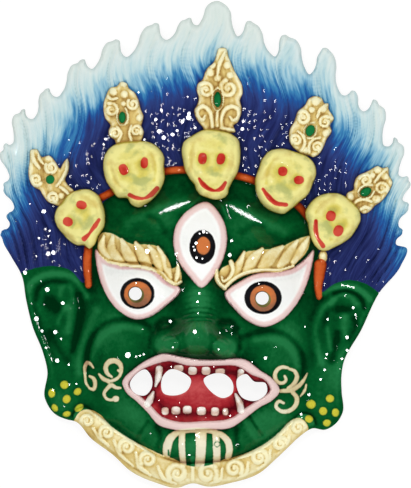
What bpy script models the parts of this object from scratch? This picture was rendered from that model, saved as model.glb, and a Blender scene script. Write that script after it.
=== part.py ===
# Wrathful protector face mask: one hollow casting with a flame crown, lying on its flat back rim.
# X runs to the right of the face, Y towards the crown and Z out of the face.

import math

import bpy
import numpy as np
from mathutils import Vector
from mathutils.geometry import delaunay_2d_cdt

# Driving dimensions in metres
MASK_HEIGHT = 0.300
NOSE_HEIGHT = 0.086
WALL = 0.0045
HAIR_EDGE = 0.007
RIM_LAND = 0.009
PUPIL_BORE = 0.0080
EDGE_ROUND = 0.0035

# The carving is laid out on a chart of about 487 units from the top flame to the chin, x to the right and
# y down. Rises and sinks of carved forms are in carver's millimetres, which grow with the mask.
CARVED = MASK_HEIGHT / 300.0

# Steps of the faces in chart units, and how many faces are left in all
FRONT_STEP = 2.0
BACK_STEP = 5.0
OUTLINE_STEP = 4.0
SEAM_STEP = 5.0
LONG_SEAM_STEP = 8.0
TRIANGLES = 9900

# Flames of the crown, clockwise from the left ear: tip, breadth of the tip, the notch after it, and how
# full the flank is before and after the tip as a share of its length
FLAMES = (
    (1.7, 231, 3, 9.0, 227, 0.14, -0.03),
    (6.7, 215, 4, 14.0, 209, -0.07, 0.0),
    (3.3, 185, 5, 9.5, 178, 0.02, -0.01),
    (3.5, 146, 7, 13.0, 143, 0.125, -0.04),
    (21.5, 110, 6, 32.5, 119, 0.15, -0.08),
    (45.5, 89, 7, 57.0, 97, 0.015, -0.015),
    (80.5, 60, 8, 91.5, 69, 0.045, 0.045),
    (115.5, 39.5, 7, 126, 57, 0.065, -0.01),
    (155, 23, 6, 166, 40, 0.035, -0.025),
    (188, 18, 6, 197, 25.5, 0.01, -0.03),
    (217.5, 1, 16, 238, 36.5, 0.105, 0.10),
    (250.5, 21, 6, 275.5, 56.5, 0.015, 0.01),
    (286, 35, 7, 309.5, 74.5, 0.085, 0.09),
    (326.5, 48, 7, 343.5, 95.5, 0.05, 0.02),
    (354.5, 91, 6, 363.5, 111.5, 0.0, -0.045),
    (377, 101, 7, 384.5, 146, 0.015, 0.09),
    (397, 139, 6, 399, 175.5, -0.12, 0.135),
    (408.5, 178, 5, 402.5, 200, -0.01, 0.11),
    (409, 205, 4, 398.5, 225.5, 0.06, -0.015),
    (402.7, 230.5, 3, 395.7, 243.5, -0.04, -0.01),
)
LAST_FLAME = (406.5, 248)
# The edge below the crown, from the right ear round the beard to the left ear
LOWER_EDGE = (
    (400.5, 266), (379, 293), (361, 330), (343, 364), (341.2, 378), (341.6, 392), (342.6, 412),
    (336, 423), (325, 429.5), (312, 428.2), (301, 435), (288, 447), (276, 458.5), (259, 473),
    (231, 482.5), (207, 486.2), (193, 483), (177, 487.5), (156, 482.5), (131, 471),
    (113, 454.5), (91, 438), (76, 421.5), (66, 419), (56, 414.5), (45, 398), (47.5, 371), (43, 352),
    (33, 327), (26.3, 300), (22, 276), (11, 256), (3, 241),
)
# Where the blue hair ends and the green face and ears begin
HAIRLINE = (
    (14, 277), (24, 272), (38, 267.5), (54, 266), (70, 270), (84, 283), (88, 262), (93, 240),
    (98, 210), (118, 191), (150, 172), (185, 173), (211, 176), (240, 177), (266, 186), (296, 204),
    (309, 224), (318, 250), (322, 292), (334, 284), (350, 280), (366, 284), (384, 296), (430, 300),
    (430, 520), (-20, 520), (-20, 290),
)
HAIR_CENTRE = (203.0, 290.0)
HAIR_BEND = 0.05
HAIR_WAVE = 14.0
HAIR_START = 10.0
FLANK_PLACES = (0.2, 0.4, 0.6, 0.8)
FLANK_TURN = 0.075
TIP_CLEAR = 0.7
LONG_SHOULDER = 0.07
SHORT_SHOULDER = 0.3
SHOULDER_REACH = 0.45
FLAME_RISE = 2.6
STRANDS = 3
STRAND_SHARE = 0.3

# Broad swells of the face: centre, spreads along and across, turn in degrees and rise as a share
SWELLS = {
    "left brow": ((133, 250), (46, 17), 8, 0.075),
    "right brow": ((270, 254), (46, 17), -8, 0.075),
    "brow root": ((203, 268), (20, 30), 0, 0.035),
    "left eyeball": ((139, 293), (33, 24), 0, 0.075),
    "right eyeball": ((265, 298), (35, 25), 0, 0.075),
    "nose bridge": ((199, 308), (16, 26), 0, 0.12),
    "nose tip": ((197, 338), (25, 18), 0, 0.29),
    "left nostril": ((167, 344), (13, 11), 0, 0.17),
    "right nostril": ((225, 347), (13, 11), 0, 0.17),
    "left cheek": ((112, 335), (28, 26), 0, 0.06),
    "right cheek": ((288, 340), (28, 26), 0, 0.06),
    "muzzle": ((199, 390), (78, 40), 0, 0.11),
    "chin": ((197, 449), (36, 19), 0, 0.17),
}
HEAD_CENTRE = (199.0, 318.0)
HEAD_REACH = (128.0, 152.0, 160.0)
HEAD_RISE = 0.60
SKIRT_CENTRE = (205.5, 285.0)
SKIRT_REACH = (213.0, 285.0)
SKIRT_RISE = 0.26
SKIRT_ROUND = 1.3
HEAD_BLEND = 0.07
MOUTH_SINK = 0.13

LEFT_LID = (
    (96.4, 249), (97.4, 268), (103, 287), (111, 301), (122, 312), (137, 319), (151, 316), (164, 307),
    (180.4, 288.3), (166, 279), (153, 268), (138, 264.5), (120, 264), (105, 258.5),
)
RIGHT_LID = (
    (313, 250), (311, 269), (304, 290), (294, 307), (281, 320), (263, 326.5), (248, 321), (235, 309.5),
    (224.5, 293.5), (240, 281), (258, 272.8), (276, 271.5), (292, 268), (305, 258.5),
)
THIRD_LID = (
    (206.5, 202), (188, 210.5), (176, 226), (173.5, 243), (179, 262), (190, 277), (201.5, 287.5),
    (213, 277), (223, 259), (227, 238), (222.5, 219),
)
LEFT_PUPIL = (135.7, 293.5)
RIGHT_PUPIL = (262.0, 298.0)
THIRD_PUPIL = (203.0, 246.0)
LID_RIM = 4.5
LID_RISE = 2.4
EYE_SHARE = 0.45
# Rings painted round a pupil: middle, half breadth and half height
IRISES = (((137.0, 293.5), 13.3, 12.3), ((262.5, 298.0), 13.0, 13.0), ((203.4, 245.8), 7.0, 9.0))
RINGS = (((137.7, 293.3), 17.2, 15.5), ((262.8, 297.5), 18.7, 16.5), ((202.4, 247.0), 13.0, 17.0))

LEFT_BROW = (
    (97, 238), (101, 232), (112, 232), (123, 238), (134, 243), (146, 243), (158, 245), (165, 251),
    (169, 268), (178, 265), (182, 282), (172, 284), (161, 272), (148, 263), (130, 262), (112, 260),
    (100, 252),
)
RIGHT_BROW = (
    (310, 234.5), (302, 236), (292, 240), (279, 246), (266, 248), (254, 249), (244, 251), (237, 260),
    (230, 262.5), (220, 268), (217, 281), (225, 289), (239, 277), (258, 271.5), (280, 270), (299, 262),
    (310, 247),
)
BROW_RISE = 3.4
BROW_ROUND = 6.0

LIPS = (
    (122.6, 383), (136, 367), (149, 358.5), (165, 353), (179, 355.5), (196, 358.5), (218, 359),
    (246, 359.5), (260, 370), (272, 378), (279.6, 391), (273, 399), (259, 407), (246, 417), (231, 427),
    (205, 428.5), (172, 428.7), (159, 424.5), (148, 412), (137, 401), (126, 391),
)
MOUTH = (
    (129, 384), (139, 371.5), (154, 364), (170, 360.5), (186, 364.5), (214, 365), (238, 366), (251, 374),
    (266, 381), (270, 389), (258, 399), (246, 407), (232, 417), (204, 420.5), (173, 420), (162, 416),
    (151, 405), (140, 395),
)
MOUTH_GAPS = (
    ((130, 384), (135, 375), (146, 369), (151.5, 376), (151.5, 388), (145, 395), (134, 392)),
    ((163, 376), (170, 369), (183, 372), (191, 379), (188, 389), (174, 395), (164, 393)),
    ((204, 378), (212, 373.5), (225, 374), (232.5, 382), (232, 393), (224, 397.5), (212, 392)),
    ((238, 377), (245.5, 373.5), (254, 381), (265.5, 383), (267, 391), (255, 400.5), (242, 397)),
)
# Fangs from root to tip, and the small teeth by their middles
FANGS = (
    ((159.5, 364), (155.7, 385)),
    ((147, 410), (154, 391)),
    ((240.6, 366), (237.6, 383)),
    ((242, 414), (235.3, 394)),
)
TEETH = (
    (178.4, 367.5), (192.0, 369.5), (206.0, 370), (220.0, 370), (232.0, 370),
    (165, 412), (177, 411), (189, 411), (202, 411), (215, 411), (227, 410.5),
)
FANG_BREADTH = 8.0
FANG_TIP = 0.3
TOOTH_BREADTH = 11.0
TOOTH_RISE = 4.0
LIP_RISE = 3.6
LIP_ROUND = 3.5

# Skulls of the diadem: middle, lean in degrees clockwise and size as a share of the middle one
SKULLS = (
    ((80, 219), -50, 0.96),
    ((135.5, 174), -19, 0.98),
    ((212, 165), 3, 1.0),
    ((286, 181), 30, 0.98),
    ((333.5, 220), 61, 0.96),
)
# Half the outline of a skull, from the crown to the chin, as offsets from its middle
SKULL_SIDE = ((0, -35), (14, -33), (25.5, -23), (29, -9), (27, 5), (22, 17), (16, 27), (9, 33.5), (0, 35.5))
SKULL_RISE = 13.0
SKULL_EDGE = 6.0
SKULL_DOME = 26.0
SKULL_EDGE_SHARE = 0.58
# Forms on one half of a skull: place, spreads across and along, and rise as a share of the skull's
SKULL_FORMS = (
    ((9.5, -4.0), (5.5, 6.5), -0.16),
    ((9.5, -13.0), (8.0, 4.0), 0.06),
    ((15.2, 8.0), (6.0, 5.0), 0.06),
    ((0.0, 12.0), (9.0, 9.0), 0.07),
)
# The grin: height on the middle line, upward bend, half length, half breadth and depth as a share
GRIN = (24.0, 0.03, 15.0, 2.2, 0.10)

# Scrolled leaves above the skulls: foot, top and breadth as a share of their length
LEAVES = (
    ((70, 199), (32, 152), 0.80),
    ((128, 143), (117, 84), 0.64),
    ((218, 131), (218, 50), 0.58),
    ((299, 151), (322, 99), 0.72),
    ((349, 205), (389, 173), 0.82),
)
# Half the outline of a leaf: breadth and height as shares of its length
LEAF_SIDE = (
    (0.09, 0.0), (0.21, 0.03), (0.28, 0.13), (0.26, 0.23), (0.21, 0.31), (0.25, 0.38), (0.28, 0.48),
    (0.24, 0.60), (0.15, 0.69), (0.19, 0.77), (0.13, 0.87), (0.07, 0.95), (0.0, 1.0),
)
# Scrolls of a leaf: place across and along it as shares of its length, and radius
SCROLLS = (
    (-0.17, 0.14, 0.11), (0.17, 0.14, 0.11), (-0.16, 0.50, 0.12), (0.16, 0.50, 0.12),
    (-0.10, 0.77, 0.08), (0.10, 0.77, 0.08), (0.0, 0.92, 0.06),
)
GEM = (0.37, 0.11, 0.055)
LEAF_BREADTH = 0.58
LEAF_ROUND = 0.06
LEAF_RISE = 3.0
SCROLL_RISE = 2.0
# A scroll rises in a ring and a boss: where the ring runs, its half breadth and the boss's, as shares of
# the radius
CURL = (0.71, 0.27, 0.28)

BAND = ((92, 203), (120, 188), (168, 171), (211, 172), (252, 180), (300, 208), (315, 226))
BAND_BREADTH = 7.5
RIBBONS = (
    ((87, 246), (86, 266), (88, 289)),
    ((323, 250), (321, 272), (320, 298)),
)
RIBBON_BREADTH = 7.5
BAND_RISE = 2.6

LEFT_HELIX = ((30, 318), (27, 296), (34, 281), (52, 275), (72, 284), (84, 306), (80, 335), (72, 362))
RIGHT_HELIX = (
    (377, 310), (380, 300), (368, 290), (350, 287), (334, 298), (325, 320), (324, 345), (330, 368),
)
LEFT_CONCHA = ((62, 326), (18, 34), -14)
RIGHT_CONCHA = ((350, 328), (18, 34), 20)
HELIX_BREADTH = 13.0
HELIX_RISE = 3.6
CONCHA_SINK = 3.2
LEFT_LOBE = ((63, 399), 21)
RIGHT_LOBE = ((322, 408), 22)
LOBE_RISE = 5.0
LOBE_BEADS = 6
LOBE_BEAD_RING = 0.62
BEAD_RADIUS = 4.6
BEAD_RISE = 1.6

CHEEK_SCROLLS = (
    ((98, 372), (106, 378), (118, 378), (124, 368), (117, 358), (107, 361), (106, 370), (113, 372)),
    ((96, 362), (86, 366), (88, 376), (96, 377), (88, 381), (87, 390), (97, 389)),
    ((104, 384), (104, 396), (114, 402), (119, 394), (112, 388)),
    ((276, 370), (288, 366), (297, 376), (291, 387), (280, 387), (276, 378), (284, 375)),
    ((276, 395), (286, 391), (296, 398), (292, 410), (280, 411), (275, 403), (284, 402)),
    ((281, 390), (293, 388), (303, 382), (308, 372)),
)
CHEEK_LINE = 4.0
CHEEK_RISE = 1.0

BEARD = (
    (74, 411), (87, 421), (106, 433), (126, 448), (149, 463), (178, 473), (208, 473), (236, 469),
    (260, 457), (281, 443), (298, 428), (313, 421),
)
BEARD_BREADTH = 22.0
BEARD_CURLS = (
    (88, 422, 8), (107, 433, 9), (126, 447, 9), (148, 461, 10), (178, 472, 13), (208, 472, 13),
    (234, 467, 10), (260, 456, 10), (281, 443, 9), (298, 429, 8),
)
BEARD_RISE = 5.0
CURL_RISE = 2.0
CHIN_BANDS = (
    ((162, 453), (178, 436), (197, 430), (217, 436), (233, 452)),
    ((183, 437), (181, 450), (184, 463)),
    ((199, 432), (200, 448), (199, 465)),
    ((214, 437), (217, 450), (213, 463)),
    ((171, 459), (197, 467), (222, 460)),
)
CHIN_BAND = 5.0
CHIN_RISE = 1.0
WRINKLES = 4
WRINKLE_TOP = (199.0, 297.0)
WRINKLE_PITCH = 7.6
WRINKLE_BREADTH = 26.0
WRINKLE_BOW = 0.012
WRINKLE_RISE = 1.6

# Edge of the hollow behind, kept a land's width inside the notches, the ears and the beard
HOLLOW = (
    (32, 222), (36, 178), (58, 134), (94, 98), (140, 72), (192, 60), (240, 66), (290, 92), (332, 130),
    (362, 178), (372, 226), (360, 262), (330, 300), (318, 350), (312, 396), (286, 426), (246, 450),
    (196, 460), (148, 450), (106, 424), (80, 392), (70, 350), (62, 300), (42, 262),
)
HOLLOW_SLOPE = 1.1
SHARP_ANGLE = 40.0

# How far the distance searches look, in chart units
NEAR = 12.0
AROUND = 20.0
FORM = 32.0
WHOLE = 200.0

# Enamels over the casting, and the bare resin of the back
GLOSS = 0.25
PAINTS = {
    "green": (0.01, 0.11, 0.03),
    "blue": (0.03, 0.08, 0.35),
    "gold": (0.70, 0.50, 0.20),
    "bone": (0.70, 0.62, 0.16),
    "rose": (0.75, 0.38, 0.40),
    "white": (0.85, 0.87, 0.88),
    "black": (0.01, 0.01, 0.01),
    "orange": (0.60, 0.10, 0.02),
    "red": (0.45, 0.02, 0.03),
    "resin": (0.30, 0.28, 0.25),
}


def curve(points, step, closed=True):
    """A smooth curve through the points, with corners about one step apart."""
    p = np.array(points, float)
    if closed:
        p = np.vstack((p[-1:], p, p[:2]))
    else:
        p = np.vstack((2 * p[:1] - p[1:2], p, 2 * p[-1:] - p[-2:-1]))
    chord = np.hypot(*np.diff(p, axis=0).T)[:, None]
    slope = np.diff(p, axis=0) / chord
    lean = (slope[:-1] * chord[1:] + slope[1:] * chord[:-1]) / (chord[:-1] + chord[1:])
    out = []
    for start, end, along, start_lean, end_lean in zip(p[1:-2], p[2:-1], chord[1:-1], lean[:-1], lean[1:]):
        pieces = max(1, round(float(along[0]) / step))
        t = np.arange(pieces)[:, None] / pieces
        rise = t * t * (3 - 2 * t)
        bend = along * t * (1 - t) * (start_lean * (1 - t) - end_lean * t)
        out.append(start + (end - start) * rise + bend)
    if not closed:
        out.append(p[-2:-1])
    return np.vstack(out)


def flank(notch, tip, fullness, breadth):
    """Places up a flank, and how far each swings out: hollow by the notch and full again by the tip."""
    rise = tip - notch
    length = np.hypot(*rise)
    out = np.array((rise[1], -rise[0]))
    points = []
    for share in FLANK_PLACES:
        if share * length > OUTLINE_STEP / 2 and (1 - share) * length > breadth * TIP_CLEAR:
            swing = fullness * 4 * share * (1 - share) - FLANK_TURN * math.sin(2 * math.pi * share)
            points.append((notch + rise * share, out * swing))
    return points


def crown_points():
    """Points round the flames: each rises to its tip and falls the same way to the next notch."""
    points = []
    notch = np.array(LOWER_EDGE[-1], float)
    for tip_x, tip_y, breadth, notch_x, notch_y, rise_full, fall_full in FLAMES:
        tip = np.array((tip_x, tip_y), float)
        after = np.array((notch_x, notch_y), float)
        across = after - notch
        across /= np.hypot(*across)
        out = np.array((across[1], -across[0]))
        side = across * breadth * SHOULDER_REACH
        drops = (LONG_SHOULDER, SHORT_SHOULDER)
        if np.hypot(*(tip - notch)) <= np.hypot(*(tip - after)):
            drops = drops[::-1]
        points += [place + swing for place, swing in flank(notch, tip, rise_full, breadth)]
        points.append(tip - side - out * breadth * drops[0])
        points.append(tip)
        points.append(tip + side - out * breadth * drops[1])
        points += [place - swing for place, swing in flank(after, tip, fall_full, breadth)][::-1]
        points.append(after)
        notch = after
    points.append(LAST_FLAME)
    return points


def outline(step):
    """The whole edge of the mask on the chart."""
    return curve([*crown_points(), *LOWER_EDGE], step)


EDGE = outline(OUTLINE_STEP)
CHART_MIDDLE = (EDGE.min(0) + EDGE.max(0)) / 2
UNIT = MASK_HEIGHT / np.ptp(EDGE[:, 1])


def ellipse(middle, wide, tall, sides):
    turns = np.arange(sides) * 2 * math.pi / sides
    return np.column_stack((middle[0] + wide * np.cos(turns), middle[1] + tall * np.sin(turns)))


def circle(middle, radius, sides):
    return ellipse(middle, radius, radius, sides)


def openings(step):
    """The pupils and the gaps of the mouth, which go right through."""
    bore = PUPIL_BORE / 2 / UNIT
    pupils = [circle(middle, bore, 20) for middle in (LEFT_PUPIL, RIGHT_PUPIL)]
    return [*pupils, *(curve(gap, step) for gap in MOUTH_GAPS)]


def depth_inside(loop, x, y, reach):
    """Distance to a closed loop, positive inside it, and never more than the reach."""
    depth = np.full(x.shape, -float(reach))
    low, high = loop.min(0) - reach, loop.max(0) + reach
    near = (x > low[0]) & (x < high[0]) & (y > low[1]) & (y < high[1])
    px, py = x[near], y[near]
    best = np.full(px.shape, float(reach) ** 2)
    inside = np.zeros(px.shape, bool)
    for (ax, ay), (bx, by) in zip(loop, np.roll(loop, -1, 0)):
        ex, ey = bx - ax, by - ay
        along = np.clip(((px - ax) * ex + (py - ay) * ey) / (ex * ex + ey * ey), 0.0, 1.0)
        gap = (px - ax - along * ex) ** 2 + (py - ay - along * ey) ** 2
        np.minimum(best, gap, out=best)
        if ay != by:
            inside ^= ((ay > py) != (by > py)) & (px < ax + (py - ay) * ex / ey)
    depth[near] = np.where(inside, np.sqrt(best), -np.sqrt(best))
    return depth


def gap_to_line(line, x, y, reach):
    """Distance to an open line, at most the reach, and the share of the line at the nearest place."""
    gap = np.full(x.shape, float(reach))
    share = np.zeros(x.shape)
    low, high = line.min(0) - reach, line.max(0) + reach
    near = (x > low[0]) & (x < high[0]) & (y > low[1]) & (y < high[1])
    px, py = x[near], y[near]
    best = np.full(px.shape, float(reach) ** 2)
    place = np.zeros(px.shape)
    for i, ((ax, ay), (bx, by)) in enumerate(zip(line[:-1], line[1:])):
        ex, ey = bx - ax, by - ay
        along = np.clip(((px - ax) * ex + (py - ay) * ey) / (ex * ex + ey * ey), 0.0, 1.0)
        here = (px - ax - along * ex) ** 2 + (py - ay - along * ey) ** 2
        closer = here < best
        best[closer] = here[closer]
        place[closer] = (i + along[closer]) / (len(line) - 1)
    gap[near] = np.sqrt(best)
    share[near] = place
    return gap, share


def smooth_step(value, start, end):
    t = np.clip((value - start) / (end - start), 0.0, 1.0)
    return t * t * (3 - 2 * t)


def pillow(depth, breadth):
    """0 at an edge, rising in a quarter round to 1 at the breadth inside it."""
    t = 1 - np.clip(depth / breadth, 0.0, 1.0)
    return np.sqrt(1 - t * t)


def roll(gap, breadth):
    """Half round across a line: 1 on the line and 0 at half the breadth from it."""
    t = np.clip(gap / (breadth / 2), 0.0, 1.0)
    return np.sqrt(1 - t * t)


def mirrored(side):
    """A closed outline from one half of it, from the first point on the middle line to the last."""
    half = np.array(side, float)
    return curve(np.vstack((half, half[::-1][half[::-1][:, 0] > 0.0] * (-1, 1))), np.ptp(half) / 20)


def turned(x, y, middle, lean, size):
    """Chart places as offsets from a middle, turned back by the lean and sized to the pattern."""
    c, s = math.cos(math.radians(lean)), math.sin(math.radians(lean))
    dx, dy = (x - middle[0]) / size, (y - middle[1]) / size
    return dx * c + dy * s, dy * c - dx * s


def along_leaf(x, y, foot, top, breadth):
    """Chart places across and up a leaf, as shares of its length."""
    length = math.hypot(top[0] - foot[0], top[1] - foot[1])
    up = ((top[0] - foot[0]) / length, (top[1] - foot[1]) / length)
    dx, dy = x - foot[0], y - foot[1]
    wider = breadth / LEAF_BREADTH
    return (dy * up[0] - dx * up[1]) / (length * wider), (dx * up[0] + dy * up[1]) / length


def swell(x, y, middle, spread, turn):
    """A broad round rise of height 1."""
    c, s = math.cos(math.radians(turn)), math.sin(math.radians(turn))
    dx, dy = x - middle[0], y - middle[1]
    u, v = (dx * c + dy * s) / spread[0], (dy * c - dx * s) / spread[1]
    return np.exp(-u * u - v * v)


def body_share(x, y):
    """The plain form of the mask without carving, as a share of the height of the nose."""
    q = np.hypot((x - SKIRT_CENTRE[0]) / SKIRT_REACH[0], (y - SKIRT_CENTRE[1]) / SKIRT_REACH[1])
    skirt = SKIRT_RISE * SKIRT_ROUND * np.tanh(np.clip((1 - q) * 2, 0.0, None) / SKIRT_ROUND)
    up, down = HEAD_REACH[1:]
    dy = y - HEAD_CENTRE[1]
    r = np.hypot((x - HEAD_CENTRE[0]) / HEAD_REACH[0], dy / np.where(dy < 0, up, down))
    head = HEAD_RISE * np.clip(1 - r * r, 0.0, 1.0) ** 0.75
    mix = np.clip(0.5 + 0.5 * (head - skirt) / HEAD_BLEND, 0.0, 1.0)
    share = skirt * (1 - mix) + head * mix + HEAD_BLEND * mix * (1 - mix)
    for middle, spread, turn, rise in SWELLS.values():
        share = share + rise * swell(x, y, middle, spread, turn)
    mouth = depth_inside(curve(MOUTH, 4.0), x, y, NEAR)
    return share - MOUTH_SINK * smooth_step(mouth, -2.0, 9.0)


def body(x, y):
    """Height of the uncarved front in metres."""
    tip = SWELLS["nose tip"][0]
    full = body_share(np.array([float(tip[0])]), np.array([float(tip[1])]))[0]
    return HAIR_EDGE + (NOSE_HEIGHT - HAIR_EDGE) * body_share(x, y) / full


def hair_lock(x, y):
    """Across the locks of hair: 0 in the furrow that runs to a notch, about 1 on the ridge of a flame."""
    tips = np.array([row[:2] for row in FLAMES] + [LAST_FLAME], float)
    notches = np.array([LOWER_EDGE[-1]] + [row[3:5] for row in FLAMES], float)
    corners = np.empty((len(tips) + len(notches), 2))
    corners[0::2], corners[1::2] = notches, tips
    angles = np.arctan2(corners[:, 0] - HAIR_CENTRE[0], HAIR_CENTRE[1] - corners[:, 1])
    angle = np.arctan2(x - HAIR_CENTRE[0], HAIR_CENTRE[1] - y)
    reach = np.hypot(x - HAIR_CENTRE[0], y - HAIR_CENTRE[1])
    angle = angle + HAIR_BEND * np.sin(reach / HAIR_WAVE)
    phase = np.interp(angle, angles, np.arange(len(angles), dtype=float), left=0.0, right=0.0)
    strands = np.abs(np.sin(phase * math.pi / 2 * STRANDS))
    return (1 - STRAND_SHARE) * np.abs(np.sin(phase * math.pi / 2)) + STRAND_SHARE * strands


def add_hair(z, x, y, edge):
    face = depth_inside(curve(HAIRLINE, 4.0), x, y, NEAR)
    amount = smooth_step(-face, 0.0, HAIR_START)
    z = z + amount * FLAME_RISE * CARVED * (hair_lock(x, y) - 0.6)
    return z - EDGE_ROUND * (1 - pillow(edge, EDGE_ROUND / UNIT))


def add_ears(z, x, y):
    for middle, spread, turn in (LEFT_CONCHA, RIGHT_CONCHA):
        z = z - CONCHA_SINK * CARVED * swell(x, y, middle, spread, turn)
    for line in (LEFT_HELIX, RIGHT_HELIX):
        gap, _ = gap_to_line(curve(line, 4.0, closed=False), x, y, HELIX_BREADTH)
        z = z + HELIX_RISE * CARVED * roll(gap, HELIX_BREADTH)
    for middle, radius in (LEFT_LOBE, RIGHT_LOBE):
        z = z + LOBE_RISE * CARVED * pillow(depth_inside(circle(middle, radius, 24), x, y, radius), radius)
        spots = [middle, *circle(middle, radius * LOBE_BEAD_RING, LOBE_BEADS)]
        for spot in spots:
            bead = depth_inside(circle(spot, BEAD_RADIUS, 12), x, y, BEAD_RADIUS)
            z = z + BEAD_RISE * CARVED * pillow(bead, BEAD_RADIUS)
    return z


def add_brows_and_lids(z, x, y):
    for lid in (LEFT_LID, RIGHT_LID, THIRD_LID):
        depth = depth_inside(curve(lid, 4.0), x, y, FORM)
        inner = (1 - EYE_SHARE) * smooth_step(depth, LID_RIM * 0.6, LID_RIM)
        z = z + LID_RISE * CARVED * pillow(depth + LID_RIM * 0.3, LID_RIM * 0.6) * (1 - inner)
    for brow in (LEFT_BROW, RIGHT_BROW):
        depth = depth_inside(curve(brow, 4.0), x, y, NEAR)
        z = z + BROW_RISE * CARVED * pillow(depth, BROW_ROUND)
    return z


def add_nose(z, x, y):
    for i in range(WRINKLES):
        middle = WRINKLE_TOP[1] + i * WRINKLE_PITCH
        bow = middle + WRINKLE_BOW * (x - WRINKLE_TOP[0]) ** 2
        fade = np.exp(-(((x - WRINKLE_TOP[0]) / (WRINKLE_BREADTH / 2)) ** 4))
        z = z + WRINKLE_RISE * CARVED * fade * roll(np.abs(y - bow), WRINKLE_PITCH * 0.8)
    return z


def add_mouth(z, x, y):
    lips = depth_inside(curve(LIPS, 4.0), x, y, NEAR)
    mouth = depth_inside(curve(MOUTH, 4.0), x, y, NEAR)
    band = np.minimum(lips, -mouth)
    z = z + LIP_RISE * CARVED * pillow(band, LIP_ROUND)
    for root, tip in FANGS:
        gap, share = gap_to_line(np.array((root, tip), float), x, y, FANG_BREADTH)
        z = z + TOOTH_RISE * CARVED * roll(gap / (1 - (1 - FANG_TIP) * share), FANG_BREADTH)
    for middle in TEETH:
        tooth = depth_inside(circle(middle, TOOTH_BREADTH / 2, 12), x, y, TOOTH_BREADTH)
        z = z + TOOTH_RISE * CARVED * pillow(tooth, TOOTH_BREADTH / 2)
    return z


def add_skulls(z, x, y, ground):
    whole = mirrored(SKULL_SIDE)
    for middle, lean, size in SKULLS:
        u, v = turned(x, y, middle, lean, size)
        depth = depth_inside(whole, u, v, FORM)
        side, dome = pillow(depth, SKULL_EDGE), pillow(depth, SKULL_DOME)
        form = SKULL_EDGE_SHARE * side + (1 - SKULL_EDGE_SHARE) * dome
        for place, spread, rise in SKULL_FORMS:
            form = form + rise * swell(u, v, place, spread, 0) + rise * swell(-u, v, place, spread, 0)
        height, bend, half_length, half_breadth, rise = GRIN
        grin = (v - (height - bend * u * u)) / half_breadth
        ends = smooth_step(-np.abs(u), -half_length - 2, -half_length + 2)
        form = form - rise * np.exp(-grin * grin) * ends
        z = np.where(depth > 0, np.maximum(z, ground + SKULL_RISE * CARVED * form), z)
    return z


def curl(reach):
    """A scroll as a ring round a boss, at a distance from its middle in radii."""
    ring, half, boss = CURL
    return np.exp(-(((reach - ring) / half) ** 2)) + np.exp(-((reach / boss) ** 2))


def add_leaves(z, x, y):
    whole = mirrored(LEAF_SIDE)
    for foot, top, breadth in LEAVES:
        u, v = along_leaf(x, y, foot, top, breadth)
        depth = depth_inside(whole, u, v, 0.3)
        plate = pillow(depth, LEAF_ROUND)
        carving = np.zeros(x.shape)
        for place, along, radius in SCROLLS:
            carving = np.maximum(carving, curl(np.hypot(u - place, v - along) / radius))
        tall, long_half, wide_half = GEM
        gem = pillow(1 - np.hypot(u / wide_half, (v - tall) / long_half), 1.0)
        carving = np.maximum(carving, gem)
        z = z + CARVED * plate * (LEAF_RISE + SCROLL_RISE * carving)
    return z


def add_bands(z, x, y):
    for line, breadth in ((BAND, BAND_BREADTH), *((ribbon, RIBBON_BREADTH) for ribbon in RIBBONS)):
        gap, _ = gap_to_line(curve(line, 4.0, closed=False), x, y, breadth)
        z = z + BAND_RISE * CARVED * roll(gap, breadth)
    return z


def add_scrolls(z, x, y):
    for line in CHEEK_SCROLLS:
        gap, _ = gap_to_line(curve(line, 3.0, closed=False), x, y, CHEEK_LINE)
        z = z + CHEEK_RISE * CARVED * roll(gap, CHEEK_LINE)
    for line in CHIN_BANDS:
        gap, _ = gap_to_line(curve(line, 4.0, closed=False), x, y, CHIN_BAND)
        z = z + CHIN_RISE * CARVED * roll(gap, CHIN_BAND)
    return z


def add_beard(z, x, y):
    gap, _ = gap_to_line(curve(BEARD, 5.0, closed=False), x, y, BEARD_BREADTH)
    z = z + BEARD_RISE * CARVED * roll(gap, BEARD_BREADTH)
    for mid_x, mid_y, radius in BEARD_CURLS:
        z = z + CURL_RISE * CARVED * curl(np.hypot(x - mid_x, y - mid_y) / radius)
    return z


def front(x, y, edge):
    """Height of the carved front at chart places whose distance inside the outline is edge."""
    ground = body(x, y)
    z = add_hair(ground, x, y, edge)
    z = add_ears(z, x, y)
    z = add_nose(z, x, y)
    z = add_brows_and_lids(z, x, y)
    z = add_mouth(z, x, y)
    z = add_scrolls(z, x, y)
    z = add_beard(z, x, y)
    z = add_leaves(z, x, y)
    z = add_bands(z, x, y)
    return add_skulls(z, x, y, ground)


def hollow_depth(x, y):
    """Distance inside the foot of the hollow, which leaves a flat land at least RIM_LAND wide."""
    rim = depth_inside(EDGE, x, y, WHOLE)
    return np.minimum(depth_inside(curve(HOLLOW, 5.0), x, y, WHOLE), rim - RIM_LAND / UNIT)


def back(x, y, inner):
    """Height of the back at places that far inside the hollow: the plain form less the wall, or the land."""
    step = 0.5
    slope_x = (body(x + step, y) - body(x - step, y)) / (2 * step * UNIT)
    slope_y = (body(x, y + step) - body(x, y - step)) / (2 * step * UNIT)
    under = body(x, y) - WALL * np.sqrt(1 + slope_x**2 + slope_y**2)
    return np.clip(np.minimum(under, inner * UNIT * HOLLOW_SLOPE), 0.0, None)


def beside(line, distance):
    """The line moved sideways, to the right of its run on the chart if the distance is positive."""
    run = np.gradient(line, axis=0)
    run /= np.hypot(*run.T)[:, None]
    return line + np.column_stack((-run[:, 1], run[:, 0])) * distance


def ribbon(line, breadth, step):
    """The closed edge of a band of even breadth along a line."""
    middle = curve(line, step, closed=False)
    return np.vstack((beside(middle, breadth / 2), beside(middle, -breadth / 2)[::-1]))


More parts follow.
